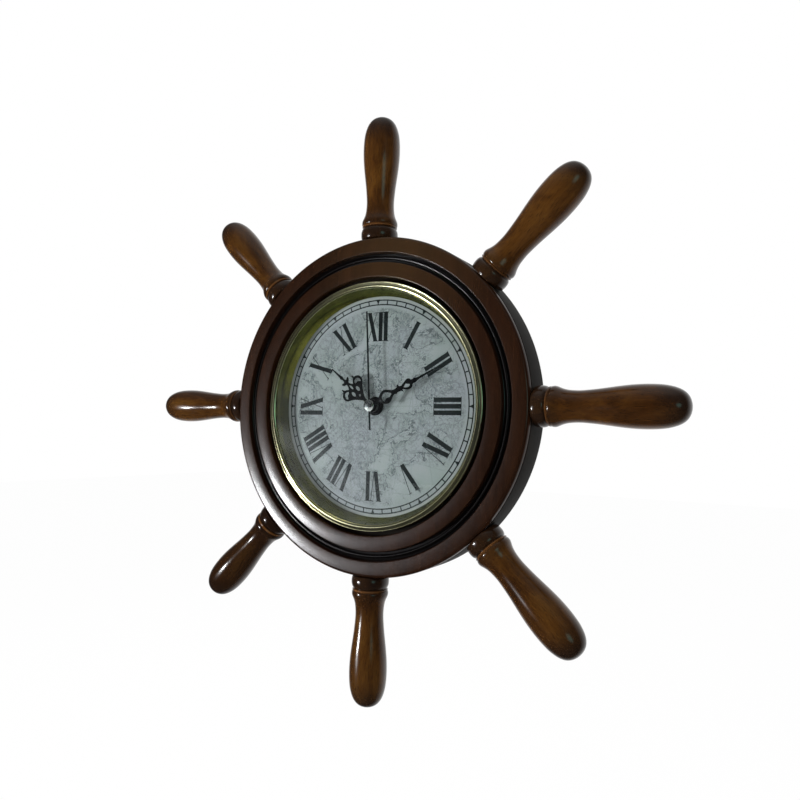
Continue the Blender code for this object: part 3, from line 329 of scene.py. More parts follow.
case_section = arc((CASE_RADIUS - CASE_ROUND, CASE_DEPTH - CASE_ROUND), CASE_ROUND, 90, 0, 5)
case_section += arc((CASE_RADIUS - CASE_ROUND, CASE_ROUND), CASE_ROUND, 0, -90, 5)
case_section += [(MOVEMENT_HOLE + 0.6 * MM, 0), (MOVEMENT_HOLE, 0.6 * MM), (MOVEMENT_HOLE, DIAL_SEAT)]
case_section += [(INSERT_BORE, DIAL_SEAT), (INSERT_BORE, CASE_DEPTH)]
case = turned("wooden_case", case_section, 240)
tools = []
handle_places = []
mouth = CASE_RADIUS + 5 * MM
socket = [(0, mouth), (SOCKET_RADIUS, mouth), (SOCKET_RADIUS, SOCKET_END), (0, SOCKET_END)]
for index in range(HANDLE_COUNT):
    out = Matrix.Rotation(math.tau * index / HANDLE_COUNT, 4, "Y")
    handle_places.append(Matrix.Translation((0, -HANDLE_HEIGHT, 0)) @ out)
    tools.append(turned("socket", socket, 32, handle_places[index]))
recess_size = [length + 2 * CLEARANCE for length in HANGER_SIZE]
recess = rounded_box(*recess_size, HANGER_CORNER, (0, HANGER_Z))
tools.append(sheet_piece("recess", [recess], -1 * MM, HANGER_SHEET + 2 * CLEARANCE))
nail_room = rounded_box(*NAIL_ROOM, (0, HANGER_Z))
tools.append(sheet_piece("nail_room", [nail_room], HANGER_SHEET, NAIL_POCKET))
screw_places = [Matrix.Translation((side * SCREW_SPREAD, 0, HANGER_Z)) @ ON_WALL for side in (-1, 1)]
radius, end = SCREW_HOLE
hole = [(0, end), (radius, end), (radius, -1 * MM), (0, -1 * MM)]
for beside in screw_places:
    tools.append(turned("screw_hole", hole, 20, beside))
cut_out(case, tools)
fitted(case, case_wood, replaces="case_body")


# Front rim: a wooden moulding turned in one piece and glued on the case, two flat bands with a
# round-bottomed groove and a fine bead between. Red-brown stain, the groove painted nearly black as
# painted shade, a lighter patch near the top as a painted sheen, satin lacquer that shines on the
# face and is dull on the side, like the case.
RIM_BACK, RIM_TOP, _ = span("front_rim")
RIM_OPENING = INSERT_BORE + 2.4 * MM
GROOVE_INNER = RIM_OPENING + 9.9 * MM
GROOVE_OUTER = GROOVE_INNER + 6.5 * MM
GROOVE_DEPTH = 4.1 * MM
RIM_ROUND = 2.2 * MM
GROOVE_FOOT = 1.1 * MM
BEAD_RADIUS = 1.25 * MM
TOP_SHEEN_SPOT = (24 * MM, 0, 108 * MM)
edge = 0.5 * MM
middle = (GROOVE_INNER + GROOVE_OUTER) / 2


def flattened(place):
    """Coordinates seen from the front, without the depth."""
    return stretched(place, (1, 0, 1))


def off_axis(flat_place):
    """Distance from the clock's middle line."""
    return node("ShaderNodeVectorMath", {0: flat_place}, operation="LENGTH").outputs["Value"]


def tinted(share, first, second, mode="MIX"):
    """Two colours mixed by a share."""
    inputs = {"Factor": share}
    for index, value in ((6, first), (7, second)):
        inputs[index] = value if is_socket(value) else (*value, 1.0)
    return node("ShaderNodeMix", inputs, data_type="RGBA", blend_type=mode).outputs[2]


rim_shades = (0.0091, 0.0032, 0.0013), (0.0238, 0.0088, 0.0035)
rim_wood, shader, colour, place = stained_wood("rim_wood", *rim_shades, 0.21)
flat_place = flattened(place)
from_axis = off_axis(flat_place)
from_groove = sums("ABSOLUTE", sums("SUBTRACT", from_axis, middle))
# Painted shade: the colour in the groove turns nearly black, standing in for the shade of the deep recess.
groove_shade = levels(from_groove, 3.4 * MM, 2.9 * MM)
# Painted sheen: a lighter patch of colour near the top of the rim, standing in for light falling from above.
from_sheen_spot = node("ShaderNodeVectorMath", {0: flat_place, 1: TOP_SHEEN_SPOT}, operation="DISTANCE").outputs["Value"]
colour = tinted(levels(from_sheen_spot, 78 * MM, 12 * MM, 0.0, 0.55), colour, (0.049, 0.027, 0.011))
feed(shader, "Base Color", tinted(groove_shade, colour, (0.0020, 0.0014, 0.0014)))
polish = levels(from_axis, CASE_RADIUS - 0.1 * MM, CASE_RADIUS - 0.9 * MM, 0.015, 0.4)
feed(shader, "Specular IOR Level", polish)

floor_height = RIM_TOP - GROOVE_DEPTH
foot_height = floor_height + GROOVE_FOOT
rim_section = arc((CASE_RADIUS - RIM_ROUND, RIM_TOP - RIM_ROUND), RIM_ROUND, 90, 0, 10)
rim_section += arc((CASE_RADIUS - edge, RIM_BACK + edge), edge, 0, -90, 4)
rim_section += [(RIM_OPENING, RIM_BACK)]
rim_section += arc((RIM_OPENING + edge, RIM_TOP - edge), edge, 180, 90, 5)
rim_section += arc((GROOVE_INNER - edge, RIM_TOP - edge), edge, 90, 0, 5)
rim_section += arc((GROOVE_INNER + GROOVE_FOOT, foot_height), GROOVE_FOOT, 180, 250, 5)
rim_section += arc((middle, floor_height + 0.5 * MM), BEAD_RADIUS, 190, -10, 12)
rim_section += arc((GROOVE_OUTER - GROOVE_FOOT, foot_height), GROOVE_FOOT, 290, 360, 5)
rim_section += arc((GROOVE_OUTER + edge, RIM_TOP - edge), edge, 180, 90, 5)
fitted(turned("turned_rim", rim_section, 288), rim_wood, replaces="front_rim")


# Handles: eight turned spokes of the wheel, each with a collar, a fine pair of rings, a waist and
# a swelling grip, glued in by a round tenon. Walnut-brown stain, darker where the grain is short
# at collar and tip, rubbed through to the wood on the rings and lightened there as a painted
# highlight, under glossy lacquer.
HANDLE_SECTION = [
    (113.5, 11.3), (113.65, 11.85), (114.3, 12.2), (115.6, 12.5), (117.2, 12.6), (118.8, 12.5), (120.2, 12.15),
    (121.1, 11.6), (121.5, 11.05), (121.75, 11.0), (122.0, 11.3), (122.15, 11.7), (122.45, 11.92), (122.8, 11.9),
    (123.05, 11.62), (123.25, 11.45), (123.4, 11.7), (123.8, 12.0), (124.6, 12.17), (125.5, 12.2), (126.5, 12.02),
    (127.6, 11.6), (128.8, 11.05), (130.3, 10.5), (132.0, 10.05), (134.0, 9.72), (137.0, 9.47), (140.5, 9.4),
    (145.0, 9.68), (151.0, 10.25), (157.0, 11.0), (163.0, 11.75), (169.0, 12.33), (174.0, 12.57), (178.0, 12.6),
    (182.0, 12.45), (186.0, 12.08), (189.0, 11.52), (192.0, 10.65), (194.5, 9.55), (196.6, 8.1), (198.2, 6.3),
    (199.3, 4.1), (199.85, 1.9),
]
COLLAR_POINTS = 24
HANDLE_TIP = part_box("handle_1")[1].z
HANDLE_FOOT = HANDLE_SECTION[0][0] * MM
TENON_RADIUS = 5.0 * MM
FINE_RING = 122.75 * MM
HANDLE_STAIN = (0.0, 0.05, 0.0, 0.15, 0.20, 0.75, 0.15, 0.15)


def along_axis(vector, axis):
    """One coordinate of a vector."""
    return node("ShaderNodeSeparateXYZ", {"Vector": vector}).outputs[axis]


def blend(before, start, end, after, share):
    """One coordinate of a smooth curve, a share of the way from start to end."""
    bend = 2 * before - 5 * start + 4 * end - after
    twist = 3 * start - before - 3 * end + after
    return 0.5 * (2 * start + (end - before) * share + bend * share ** 2 + twist * share ** 3)


def smooth_run(points, steps):
    """A curve through all the points, from the first to the last, as short straight steps."""
    padded = [points[0]] + list(points) + [points[-1]]
    run = []
    for four in zip(padded, padded[1:], padded[2:], padded[3:]):
        for i in range(steps):
            run.append(tuple(blend(*coordinate, i / steps) for coordinate in zip(*four)))
    return run + [points[-1]]


handle_wood, shader = new_finish("handle_wood", 0.12)
shader.inputs["Specular IOR Level"].default_value = 0.40
tree = handle_wood.node_tree
grain_place = node("ShaderNodeAttribute", tree=tree, attribute_name="grain").outputs["Vector"]
along = along_axis(grain_place, "Z")
broad = speckle(stretched(grain_place, (48, 48, 22)), 1.0, 5.0, 0.6, 0.5)
streak = speckle(stretched(grain_place, (520, 520, 45)), 1.0, 4.0, 0.65, 0.5)
pore = speckle(stretched(grain_place, (2600, 2600, 160)), 1.0, 2.0, 0.5)
figure = sums("ADD", product(broad, 0.80), product(streak, 0.20))
wood_shades = [
    (0.32, (0.017, 0.0056, 0.0015)), (0.46, (0.043, 0.0158, 0.0032)), (0.56, (0.0735, 0.0287, 0.0053)),
    (0.72, (0.1155, 0.0510, 0.0098)),
]
wood = shades(figure, wood_shades)
wood = tinted(levels(pore, 0.56, 0.68, 0.0, 0.6), wood, (0.0084, 0.0042, 0.0021))
at_collar = levels(along, 131.0 * MM, 121.0 * MM, 0.0, 0.80)
at_tip = levels(along, 180.0 * MM, 196.0 * MM, 0.0, 0.85)
wood = tinted(sums("MAXIMUM", at_collar, at_tip), wood, (0.0112, 0.0063, 0.0042))
stain = node("ShaderNodeAttribute", tree=tree, attribute_name="stain").outputs["Fac"]
wood = tinted(stain, wood, (0.0098, 0.0042, 0.0021))
from_ring = sums("ABSOLUTE", sums("SUBTRACT", along, FINE_RING))
worn = levels(speckle(grain_place, 17.0, 3.0), 0.42, 0.58, 0.22, 1.0)
# Wear and painted highlight: the fine pair of rings turns lighter, partly rubbed-through wood and partly a painted
# highlight on their crests.
worn_and_highlit_ring = product(levels(from_ring, 1.0 * MM, 0.3 * MM), worn)
wood = tinted(worn_and_highlit_ring, wood, (0.14, 0.057, 0.017))
feed(shader, "Base Color", wood)
rough(shader, streak, 0.09, 0.18)
relief(shader, sums("ADD", product(streak, 2.0), pore), 0.000018)

section = [(radius * MM, along * MM) for along, radius in HANDLE_SECTION]
grip = smooth_run(section[COLLAR_POINTS - 1:], 3)
tenon_end = SOCKET_END + CLEARANCE
handle_section = [(0, tenon_end), (TENON_RADIUS, tenon_end), (TENON_RADIUS, HANDLE_FOOT)]
handle_section += section[:COLLAR_POINTS] + grip[1:] + [(0, HANDLE_TIP)]
for index in range(HANDLE_COUNT):
    handle = turned(f"turned_handle_{index + 1}", handle_section, 72, Matrix.Identity(4))
    grain = handle.data.attributes.new("grain", "FLOAT_VECTOR", "POINT")
    for point, vertex in zip(grain.data, handle.data.vertices):
        point.vector = vertex.co + Vector((0.07 * index, 0.031 * index, 0))
    stain = handle.data.attributes.new("stain", "FLOAT", "POINT")
    for point in stain.data:
        point.value = HANDLE_STAIN[index]
    handle.data.transform(handle_places[index])
    fitted(handle, handle_wood, replaces=f"handle_{index + 1}")


# Dial: a thin aluminium disc faced with printed paper in cool grey-blue, aged a little unevenly.
# The print under the numerals is an old-fashioned sea chart of an invented coast.
DIAL_FACE = span("dial")[1]
INK_DEPTH = 0.03 * MM
CHART_RADIUS = 68.0 * MM
GRATICULE = 14.5 * MM
COAST = 0.49

chart_paper, shader = new_finish("chart_paper", 0.62)
shader.inputs["Specular IOR Level"].default_value = 0.25
place = own_place(shader)
flat_place = flattened(place)
mottle = speckle(flat_place, 26.0, 5.0, 0.6)
paper_shades = [(0.34, (0.258, 0.286, 0.280)), (0.50, (0.288, 0.304, 0.314)), (0.66, (0.308, 0.316, 0.344))]
paper = shades(mottle, paper_shades)


def share_of(*shares):
    """The strongest of several shares of ink."""
    strongest = shares[0]
    for share in shares[1:]:
        strongest = sums("MAXIMUM", strongest, share)
    return strongest


def fine_line(value, middle, width, darkness):
    """Ink where a value passes its middle."""
    away = sums("ABSOLUTE", sums("SUBTRACT", value, middle))
    return product(levels(away, width, width * 0.45), darkness)


def edge_of_cells(vector, scale):
    """Distance to the nearest border of irregular cells."""
    cells = node("ShaderNodeTexVoronoi", {"Vector": vector, "Scale": scale}, feature="DISTANCE_TO_EDGE")
    return cells.outputs["Distance"]


wander = speckle(flat_place, 130.0, 5.0, 0.62, output="Color")
wander = node("ShaderNodeVectorMath", {0: wander, "Scale": 0.013}, operation="SCALE").outputs[0]
wandering = node("ShaderNodeVectorMath", {0: flat_place, 1: wander}, operation="ADD").outputs[0]
land_height = speckle(stretched(flat_place, (1, 1, 1.25)), 24.0, 6.0, 0.6, 0.35)
land = levels(land_height, COAST, COAST + 0.004)
sea = sums("SUBTRACT", 1.0, land)
coast = fine_line(land_height, COAST, 0.0085, 0.85)
shallows = fine_line(land_height, COAST - 0.022, 0.0045, 0.5)
shallows = share_of(shallows, fine_line(land_height, COAST - 0.040, 0.0040, 0.32))
rivers = speckle(flat_place, 70.0, 6.0, 0.62, 0.8)
hatched = levels(speckle(flat_place, 42.0, 3.0, 0.6), 0.44, 0.58)
hatching = speckle(stretched(wandering, (1000, 1, 460)), 1.0, 3.0, 0.7)
hatching = product(levels(hatching, 0.48, 0.58), 0.72)
inland = share_of(
    fine_line(edge_of_cells(wandering, 62.0), 0.0, 0.028, 0.55),
    fine_line(edge_of_cells(wandering, 165.0), 0.0, 0.050, 0.40),
    fine_line(rivers, 0.5, 0.012, 0.50),
    product(hatched, hatching),
    0.10,
)
lattice = [sums("PINGPONG", along_axis(flat_place, axis), GRATICULE) for axis in ("X", "Z")]
graticule = share_of(*(fine_line(line, 0.0, 0.20 * MM, 0.35) for line in lattice))
sounding = node("ShaderNodeTexVoronoi", {"Vector": flat_place, "Scale": 330.0}).outputs
chosen = levels(along_axis(sounding["Color"], "X"), 0.70, 0.72)
soundings = product(chosen, levels(sounding["Distance"], 0.17, 0.11, 0.0, 0.75))
at_sea = product(sea, share_of(shallows, soundings))
print_share = share_of(coast, graticule, product(land, inland), at_sea)
from_axis = off_axis(flat_place)
print_share = product(levels(from_axis, CHART_RADIUS, CHART_RADIUS - 2 * MM), print_share)
paper = tinted(levels(from_axis, 73.1 * MM, 73.6 * MM), paper, (0.315, 0.322, 0.315))
paper = tinted(print_share, paper, (0.053, 0.063, 0.070))
front = levels(along_axis(place, "Y"), -DIAL_FACE + 0.12 * MM, -DIAL_FACE + 0.06 * MM)
feed(shader, "Base Color", tinted(front, (0.55, 0.56, 0.57), paper))
feed(shader, "Metallic", levels(front, 0.0, 1.0, 0.9, 0.0))
relief(shader, speckle(place, 1500.0, 3.0), 0.00001)


def cloudy_finish(name, roughness, scale, detail, stops, metallic=0.0):
    """A material whose colour wanders in soft clouds between a few shades."""
    finish, shader = new_finish(name, roughness, metallic)
    place = own_place(shader)
    feed(shader, "Base Color", shades(speckle(place, scale, detail), stops))
    return finish, shader, place


def dress(cad_name, finish):
    """Gives a CAD node its finish and keeps its shape."""
    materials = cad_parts[cad_name].data.materials
    materials.clear()
    materials.append(finish)


dress("dial", chart_paper)

black_shades = [(0.35, (0.0035, 0.0049, 0.0056)), (0.7, (0.0091, 0.0112, 0.0126))]
printing_ink, shader, _ = cloudy_finish("printing_ink", 0.55, 900.0, 3.0, black_shades)
shader.inputs["Specular IOR Level"].default_value = 0.12
grey_shades = [(0.35, (0.084, 0.102, 0.109)), (0.7, (0.168, 0.189, 0.196))]
chart_ink = cloudy_finish("chart_ink", 0.6, 260.0, 4.0, grey_shades)[0]


def printed(name, patches, ink):
    """Ink on the dial: flat patches, each a closed outline in the dial's own plane."""
    shape = bmesh.new()
    for patch in patches:
        low = [shape.verts.new((x, y, DIAL_FACE)) for x, y in patch]
        high = [shape.verts.new((x, y, DIAL_FACE + INK_DEPTH)) for x, y in patch]
        shape.faces.new(high)
        shape.faces.new(list(reversed(low)))
        for i in range(len(patch)):
            j = (i + 1) % len(patch)
            shape.faces.new((low[i], low[j], high[j], high[i]))
    fitted(closed_shape(name, shape, ON_WALL), ink)


# Numerals: roman figures printed black, standing on the dial's centre, with heavy and fine
# strokes and fine feet at both ends.
NUMERAL_LOW = 44.4 * MM
NUMERAL_HIGH = 64.4 * MM
TALL = NUMERAL_HIGH - NUMERAL_LOW
HEAVY = 3.05 * MM
FINE = 0.5 * MM
FOOT = 0.55 * MM
SHORT = 1.2 * MM
SLANT_WIDTH = 8.2 * MM
SLANT_PITCH = SLANT_WIDTH + 0.9 * MM
V_POINT = (SLANT_WIDTH - HEAVY) * 0.62
HEAD = TALL - FINE
FIGURES = ("XII", "I", "II", "III", "IV", "V", "VI", "VII", "VIII", "IX", "X", "XI")

# For each letter its bars (place of the foot, place of the head, width), its fine level lines
# (place, width, height) and its pitch.
LETTERS = {
    "I": ([(0, 0, HEAVY)], [(0, HEAVY, 0), (0, HEAVY, HEAD)], 4.2 * MM),
    "V": (
        [(V_POINT, 0, HEAVY), (V_POINT + HEAVY * 0.75, SLANT_WIDTH - FINE, FINE)],
        [(0, HEAVY, HEAD), (SLANT_WIDTH - SHORT, SHORT, HEAD)],
        SLANT_PITCH,
    ),
    "X": (
        [(SLANT_WIDTH - HEAVY, 0, HEAVY), (0.4 * MM, SLANT_WIDTH - 0.9 * MM, FINE)],
        [(SLANT_WIDTH - HEAVY, HEAVY, 0), (0, HEAVY, HEAD), (0, SHORT, 0), (SLANT_WIDTH - 1.7 * MM, SHORT, HEAD)],
        SLANT_PITCH,
    ),
}


def figure_strokes(text):
    """Strokes of one roman figure, upright, as outlines about the middle line."""
    strokes = []
    across = 0.0
    for letter in text:
        bars, feet, pitch = LETTERS[letter]
        for foot, head, width in bars:
            foot, head = across + foot, across + head
            strokes.append([(foot, 0), (foot + width, 0), (head + width, TALL), (head, TALL)])
        for place, width, height in feet:
            left, right, top = across + place - FOOT, across + place + width + FOOT, height + FINE
            strokes.append([(left, height), (right, height), (right, top), (left, top)])
        across += pitch
    places = [x for stroke in strokes for x, y in stroke]
    width = max(places) + min(places)
    return [[(x - width / 2, y + NUMERAL_LOW) for x, y in stroke] for stroke in strokes]


numerals = []
for hour, text in enumerate(FIGURES):
    turned_to = Matrix.Rotation(-math.tau * hour / 12, 2)
    numerals += [[tuple(turned_to @ Vector(corner)) for corner in stroke] for stroke in figure_strokes(text)]
printed("dial_numerals", numerals, printing_ink)


# Minute track: two fine circles with sixty fine lines between them, and a small wedge on the
# outer circle at every fifth minute.
TRACK_OUTER = 72.7 * MM
TRACK_INNER = 69.6 * MM
TRACK_LINE = 0.82 * MM
WEDGE_WIDTH = 3.4 * MM
WEDGE_DEPTH = 3.4 * MM


def marks_round_dial(name, mark, count, radius, finish):
    """Copies of a mark at even steps round a circle on the dial, each pointing outwards, as one mesh."""
    tree = bpy.data.node_groups.new(name, "GeometryNodeTree")
    tree.interface.new_socket("Geometry", in_out="INPUT", socket_type="NodeSocketGeometry")
    tree.interface.new_socket("Geometry", in_out="OUTPUT", socket_type="NodeSocketGeometry")
    sockets = {}
    for title, kind in (("Count", "Int"), ("Radius", "Float"), ("Mark", "Object"), ("Finish", "Material")):
        sockets[title] = tree.interface.new_socket(title, in_out="INPUT", socket_type=f"NodeSocket{kind}")
    given = node("NodeGroupInput", tree=tree).outputs
    index = node("GeometryNodeInputIndex", tree=tree).outputs[0]
    angle = product(index, sums("DIVIDE", math.tau, given["Count"]))
    across = product(sums("SINE", angle), given["Radius"])
    up = product(sums("COSINE", angle), given["Radius"])
    spot = node("ShaderNodeCombineXYZ", {"X": across, "Y": up}).outputs[0]
    points = node("GeometryNodePoints", {"Count": given["Count"], "Position": spot}).outputs[0]
    facing = node("ShaderNodeCombineXYZ", {"Z": product(angle, -1.0)}).outputs[0]
    shape = node("GeometryNodeObjectInfo", {"Object": given["Mark"]}).outputs["Geometry"]
    copies = {"Points": points, "Instance": shape, "Rotation": facing}
    copies = node("GeometryNodeInstanceOnPoints", copies).outputs[0]
    solid = node("GeometryNodeRealizeInstances", {"Geometry": copies}).outputs[0]
    dressed = node("GeometryNodeSetMaterial", {"Geometry": solid, "Material": given["Finish"]}).outputs[0]
    node("NodeGroupOutput", {0: dressed})

    holder = new_object(name, bpy.data.meshes.new(name))
    modifier = holder.modifiers.new("marks", "NODES")
    modifier.node_group = tree
    for title, value in (("Count", count), ("Radius", radius), ("Mark", mark), ("Finish", finish)):
        modifier[sockets[title].identifier] = value
    mesh = as_built(holder)
    holder.modifiers.clear()
    holder.data = mesh
    mesh.transform(ON_WALL)
    bpy.data.objects.remove(mark, do_unlink=True)
    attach(holder, "case")


def block(name, outline, thickness):
    """One mark of ink at the dial's height, lying flat before it is copied round."""
    return sheet_piece(name, [outline], DIAL_FACE, DIAL_FACE + thickness, place=Matrix.Identity(4))


tick_length = TRACK_OUTER - TRACK_INNER
half = TRACK_LINE / 2
tick = block("tick", [(-half, 0), (half, 0), (half, tick_length), (-half, tick_length)], INK_DEPTH)
half = WEDGE_WIDTH / 2
wedge = block("wedge", [(0, -WEDGE_DEPTH), (half, 0), (-half, 0)], 1.5 * INK_DEPTH)
marks_round_dial("minute_lines", tick, 60, TRACK_INNER, printing_ink)
marks_round_dial("five_minute_wedges", wedge, 12, TRACK_OUTER + 0.5 * MM, printing_ink)
low, high = DIAL_FACE, DIAL_FACE + 1.2 * INK_DEPTH
for number, radius in enumerate((TRACK_OUTER, TRACK_INNER)):
    inner, outer = radius - TRACK_LINE / 2, radius + TRACK_LINE / 2
    section = [(outer, high), (outer, low), (inner, low), (inner, high)]
    fitted(turned(f"track_circle_{number + 1}", section, 240), printing_ink)


# Chart lines: course lines that fan out from two roses, and the circles round the roses,
# printed in thin grey under the numerals.
ROSES = [(-29.0 * MM, -25.0 * MM, 7.5 * MM), (31.0 * MM, 21.0 * MM, 6.5 * MM)]
COURSES = 16
RING_STEPS = 48
COURSE_LINE = 0.13 * MM
ROSE_HEART = 0.25
INNER_RING = 0.86
course_lines = []
for x, y, ring in ROSES:
    centre = Vector((x, y))
    for i in range(COURSES):
        angle = math.tau * (i + 0.5) / COURSES
        out = Vector((math.sin(angle), math.cos(angle)))
        side = Vector((-out.y, out.x)) * COURSE_LINE / 2
        along = centre.dot(out)
        end = math.sqrt(along ** 2 + CHART_RADIUS ** 2 - centre.length_squared) - along
        start = ring if i % 2 else ring * ROSE_HEART
        corners = (out * start - side, out * end - side, out * end + side, out * start + side)
        course_lines.append([tuple(centre + corner) for corner in corners])
    for radius in (ring, ring * INNER_RING):
        outer = arc((x, y), radius, 0, 360, RING_STEPS)
        inner = arc((x, y), radius - COURSE_LINE, 0, 360, RING_STEPS)
        for i in range(RING_STEPS):
            course_lines.append([outer[i], outer[i + 1], inner[i + 1], inner[i]])
printed("chart_course_lines", course_lines, chart_ink)


# Dial fixings: black washer and hexagon nut on the movement's threaded black shaft, which together
# clamp the dial.
enamel_shades = [(0.35, (0.002, 0.002, 0.0024)), (0.7, (0.006, 0.006, 0.007))]
black_enamel, shader, place = cloudy_finish("black_enamel", 0.3, 420.0, 4.0, enamel_shades)
shader.inputs["Specular IOR Level"].default_value = 0.05
rough(shader, speckle(place, 1100.0, 2.0), 0.22, 0.36)
relief(shader, speckle(place, 2600.0, 2.0), 0.000006)


def moulded(name, dark, light, roughness):
    """Moulded plastic with the mould's fine spark texture."""
    finish, shader, place = cloudy_finish(name, roughness, 150.0, 4.0, [(0.35, dark), (0.65, light)])
    texture = speckle(place, 2400.0, 3.0)
    rough(shader, texture, roughness - 0.06, roughness + 0.08)
    relief(shader, texture, 0.00002)
    return finish


black_plastic = moulded("black_plastic", (0.012, 0.012, 0.013), (0.022, 0.022, 0.023), 0.48)

FIXING_BORE = 4.3 * MM
WASHER_EDGE = 0.1 * MM
NUT_HALF_WIDTH = 5.0 * MM
NUT_EDGE = 0.2 * MM
back, front, radius = span("dial_washer")
section = [(radius - WASHER_EDGE, front), (radius, front - WASHER_EDGE), (radius, back)]
section += [(FIXING_BORE, back), (FIXING_BORE, front)]
fitted(turned("black_washer", section, 64), black_enamel, replaces="dial_washer")

back, front, _ = span("dial_nut")
corner = NUT_HALF_WIDTH / math.cos(math.pi / 6)
outlines = [arc((0, 0), corner, 0, 300, 5), arc((0, 0), FIXING_BORE, 0, 354, 59)]
nut = sheet_piece("hexagon_nut", outlines, back, front, NUT_EDGE)
fitted(nut, black_enamel, replaces="dial_nut")

back, front, _ = span("threaded_bush")
CREST, THREAD_FOOT, THREAD_PITCH = 3.95 * MM, 3.7 * MM, 0.4 * MM
FLANGE = (5.5 * MM, 0.7 * MM)
SHAFT_BORE, SHAFT_END = 2.7 * MM, 3.6 * MM
section = [(SHAFT_BORE, back), (SHAFT_BORE, front), (SHAFT_END, front)]
height = front - 0.15 * MM
while height > back + 1.2 * MM:
    section += [(CREST, height - 0.15 * MM), (THREAD_FOOT, height - 0.35 * MM)]
    height -= THREAD_PITCH
section += [(CREST, back + FLANGE[1]), (FLANGE[0], back + FLANGE[1]), (FLANGE[0], back)]
fitted(turned("threaded_shaft", section, 56), black_plastic, replaces="threaded_bush")


# Hands: stamped from thin steel and enamelled black. The hour hand is a trellis of crossed bars
# with a spurred loop each side and a beaded needle; the minute hand has two loops, each with a
# ball, and a leafed knot between.
HOUR_DEG = 307.6
MINUTE_DEG = 63.6
SECOND_DEG = -3.5
HAND_EDGE = 0.13 * MM

# Sizes and outlines in mm, across and up from the hub.
HOUR_BOSS, HOUR_BORE = 4.3, 2.8
MINUTE_BOSS, MINUTE_BORE = 3.6, 1.8
NECK = 2.4
HOUR_LOOP_SIDE = [
    (1.15, 7.2), (2.6, 9.7), (4.9, 12.9), (7.2, 15.2), (9.4, 16.9), (10.3, 19.2), (9.7, 21.8), (8.0, 23.3), (6.9, 23.9),
]
HOUR_SPUR = [(6.45, 25.9), (5.85, 25.9), (5.3, 23.9), (3.9, 22.7), (2.6, 21.3), (1.6, 23.0), (1.05, 24.6)]
HOUR_LEAF = [(1.15, 25.2), (2.1, 25.6), (3.0, 26.3), (3.6, 27.4), (3.4, 28.3), (2.4, 28.2), (1.5, 27.6), (0.85, 28.2)]
HOUR_NEEDLE = [
    (0.75, 29.4), (0.8, 30.5), (1.25, 31.3), (1.25, 32.1), (0.75, 32.9), (0.95, 33.9), (0.7, 34.9), (0.52, 39.0),
    (0.22, 42.0), (0, 42.3),
]
HOUR_CELLS = [((0, 11.8), 0.85, 0.95), ((0, 20.8), 0.7, 2.15), ((2.55, 16.1), 1.2, 2.25), ((-2.55, 16.1), 1.2, 2.25)]
HOUR_LOOP_HOLE = [
    (8.35, 18.0), (8.6, 19.6), (7.8, 21.2), (6.3, 22.0), (4.8, 21.5), (3.9, 20.5), (4.6, 19.7), (5.9, 19.6),
    (6.9, 18.9), (7.6, 17.7),
]
MINUTE_RIGHT = [
    (1.4, 7.6), (3.7, 10.4), (4.95, 13.2), (4.6, 15.6), (2.9, 17.6), (1.5, 20.1), (2.1, 21.6), (1.55, 22.7),
    (1.65, 24.8), (1.9, 25.9),
]
MINUTE_RIGHT_LEAF = [(3.3, 27.2), (2.4, 27.1), (1.4, 26.9)]
MINUTE_RIGHT_RING = [(1.5, 27.6), (2.7, 29.3), (3.65, 31.9), (3.1, 34.1), (1.5, 35.5), (1.6, 37.6), (0.95, 39.4)]
MINUTE_LEFT = [(-1.4, 7.6), (-3.9, 10.6), (-4.75, 13.6), (-3.7, 16.6), (-1.9, 19.6), (-1.55, 21.6), (-1.75, 23.4)]
MINUTE_LEFT_LEAF = [(-3.3, 24.4), (-3.1, 25.1), (-1.6, 25.6)]
MINUTE_LEFT_RING = [(-1.3, 27.2), (-2.6, 30.2), (-3.45, 32.7), (-2.9, 34.4), (-1.5, 35.5), (-1.6, 37.6), (-0.95, 39.4)]
MINUTE_POINT = [(0.78, 41.0), (0.5, 52.2), (0, 52.7), (-0.5, 52.2), (-0.78, 41.0)]
MINUTE_HOLE = [
    (-0.1, 18.2), (1.0, 17.0), (1.55, 16.1), (1.2, 14.8), (1.3, 13.2), (2.1, 12.1), (2.5, 11.2), (1.3, 10.4),
    (-0.4, 10.3), (-2.0, 11.4), (-2.9, 13.5), (-1.9, 16.0),
]
MINUTE_RING_HOLE = [
    (0.7, 33.2), (1.6, 32.8), (1.9, 31.6), (1.4, 29.9), (0.4, 28.4), (-0.3, 29.4), (-0.9, 30.6), (-0.1, 31.9),
]


def smooth_loop(points, steps):
    """A closed curve through all the points."""
    count = len(points)
    wrapped = [points[i % count] for i in range(-1, count + 2)]
    return smooth_run(wrapped, steps)[steps:-steps - 1]


def hub(radius, opening):
    """A hand's round boss, in mm, left open towards the tip by a given width."""
    half = math.degrees(math.asin(opening / 2 / radius))
    return arc((0, 0), radius, 90 + half, 450 - half, 40)


def pointed_cell(centre, wide, tall):
    """A tall hole with bowed sides that meet in blunt points, in mm."""
    quarter = ((1, 0), (0.86, 0.4), (0.45, 0.8), (0, 1), (-0.45, 0.8), (-0.86, 0.4))
    corners = [(wide * x, tall * y) for x, y in quarter]
    corners += [(-x, -y) for x, y in corners]
    return [(centre[0] + x, centre[1] + y) for x, y in corners]


def stamped_hand(name, cad_name, body, outlines, degrees):
    """One stamped hand where its CAD node is, turned to its time."""
    back, front, _ = span(cad_name)
    in_metres = [[(x * MM, y * MM) for x, y in outline] for outline in outlines]
    turned_to = ON_WALL @ Matrix.Rotation(-math.radians(degrees), 4, "Z")
    hand = sheet_piece(name, in_metres, back, front, HAND_EDGE, turned_to)
    fitted(hand, black_enamel, replaces=cad_name, body=body)


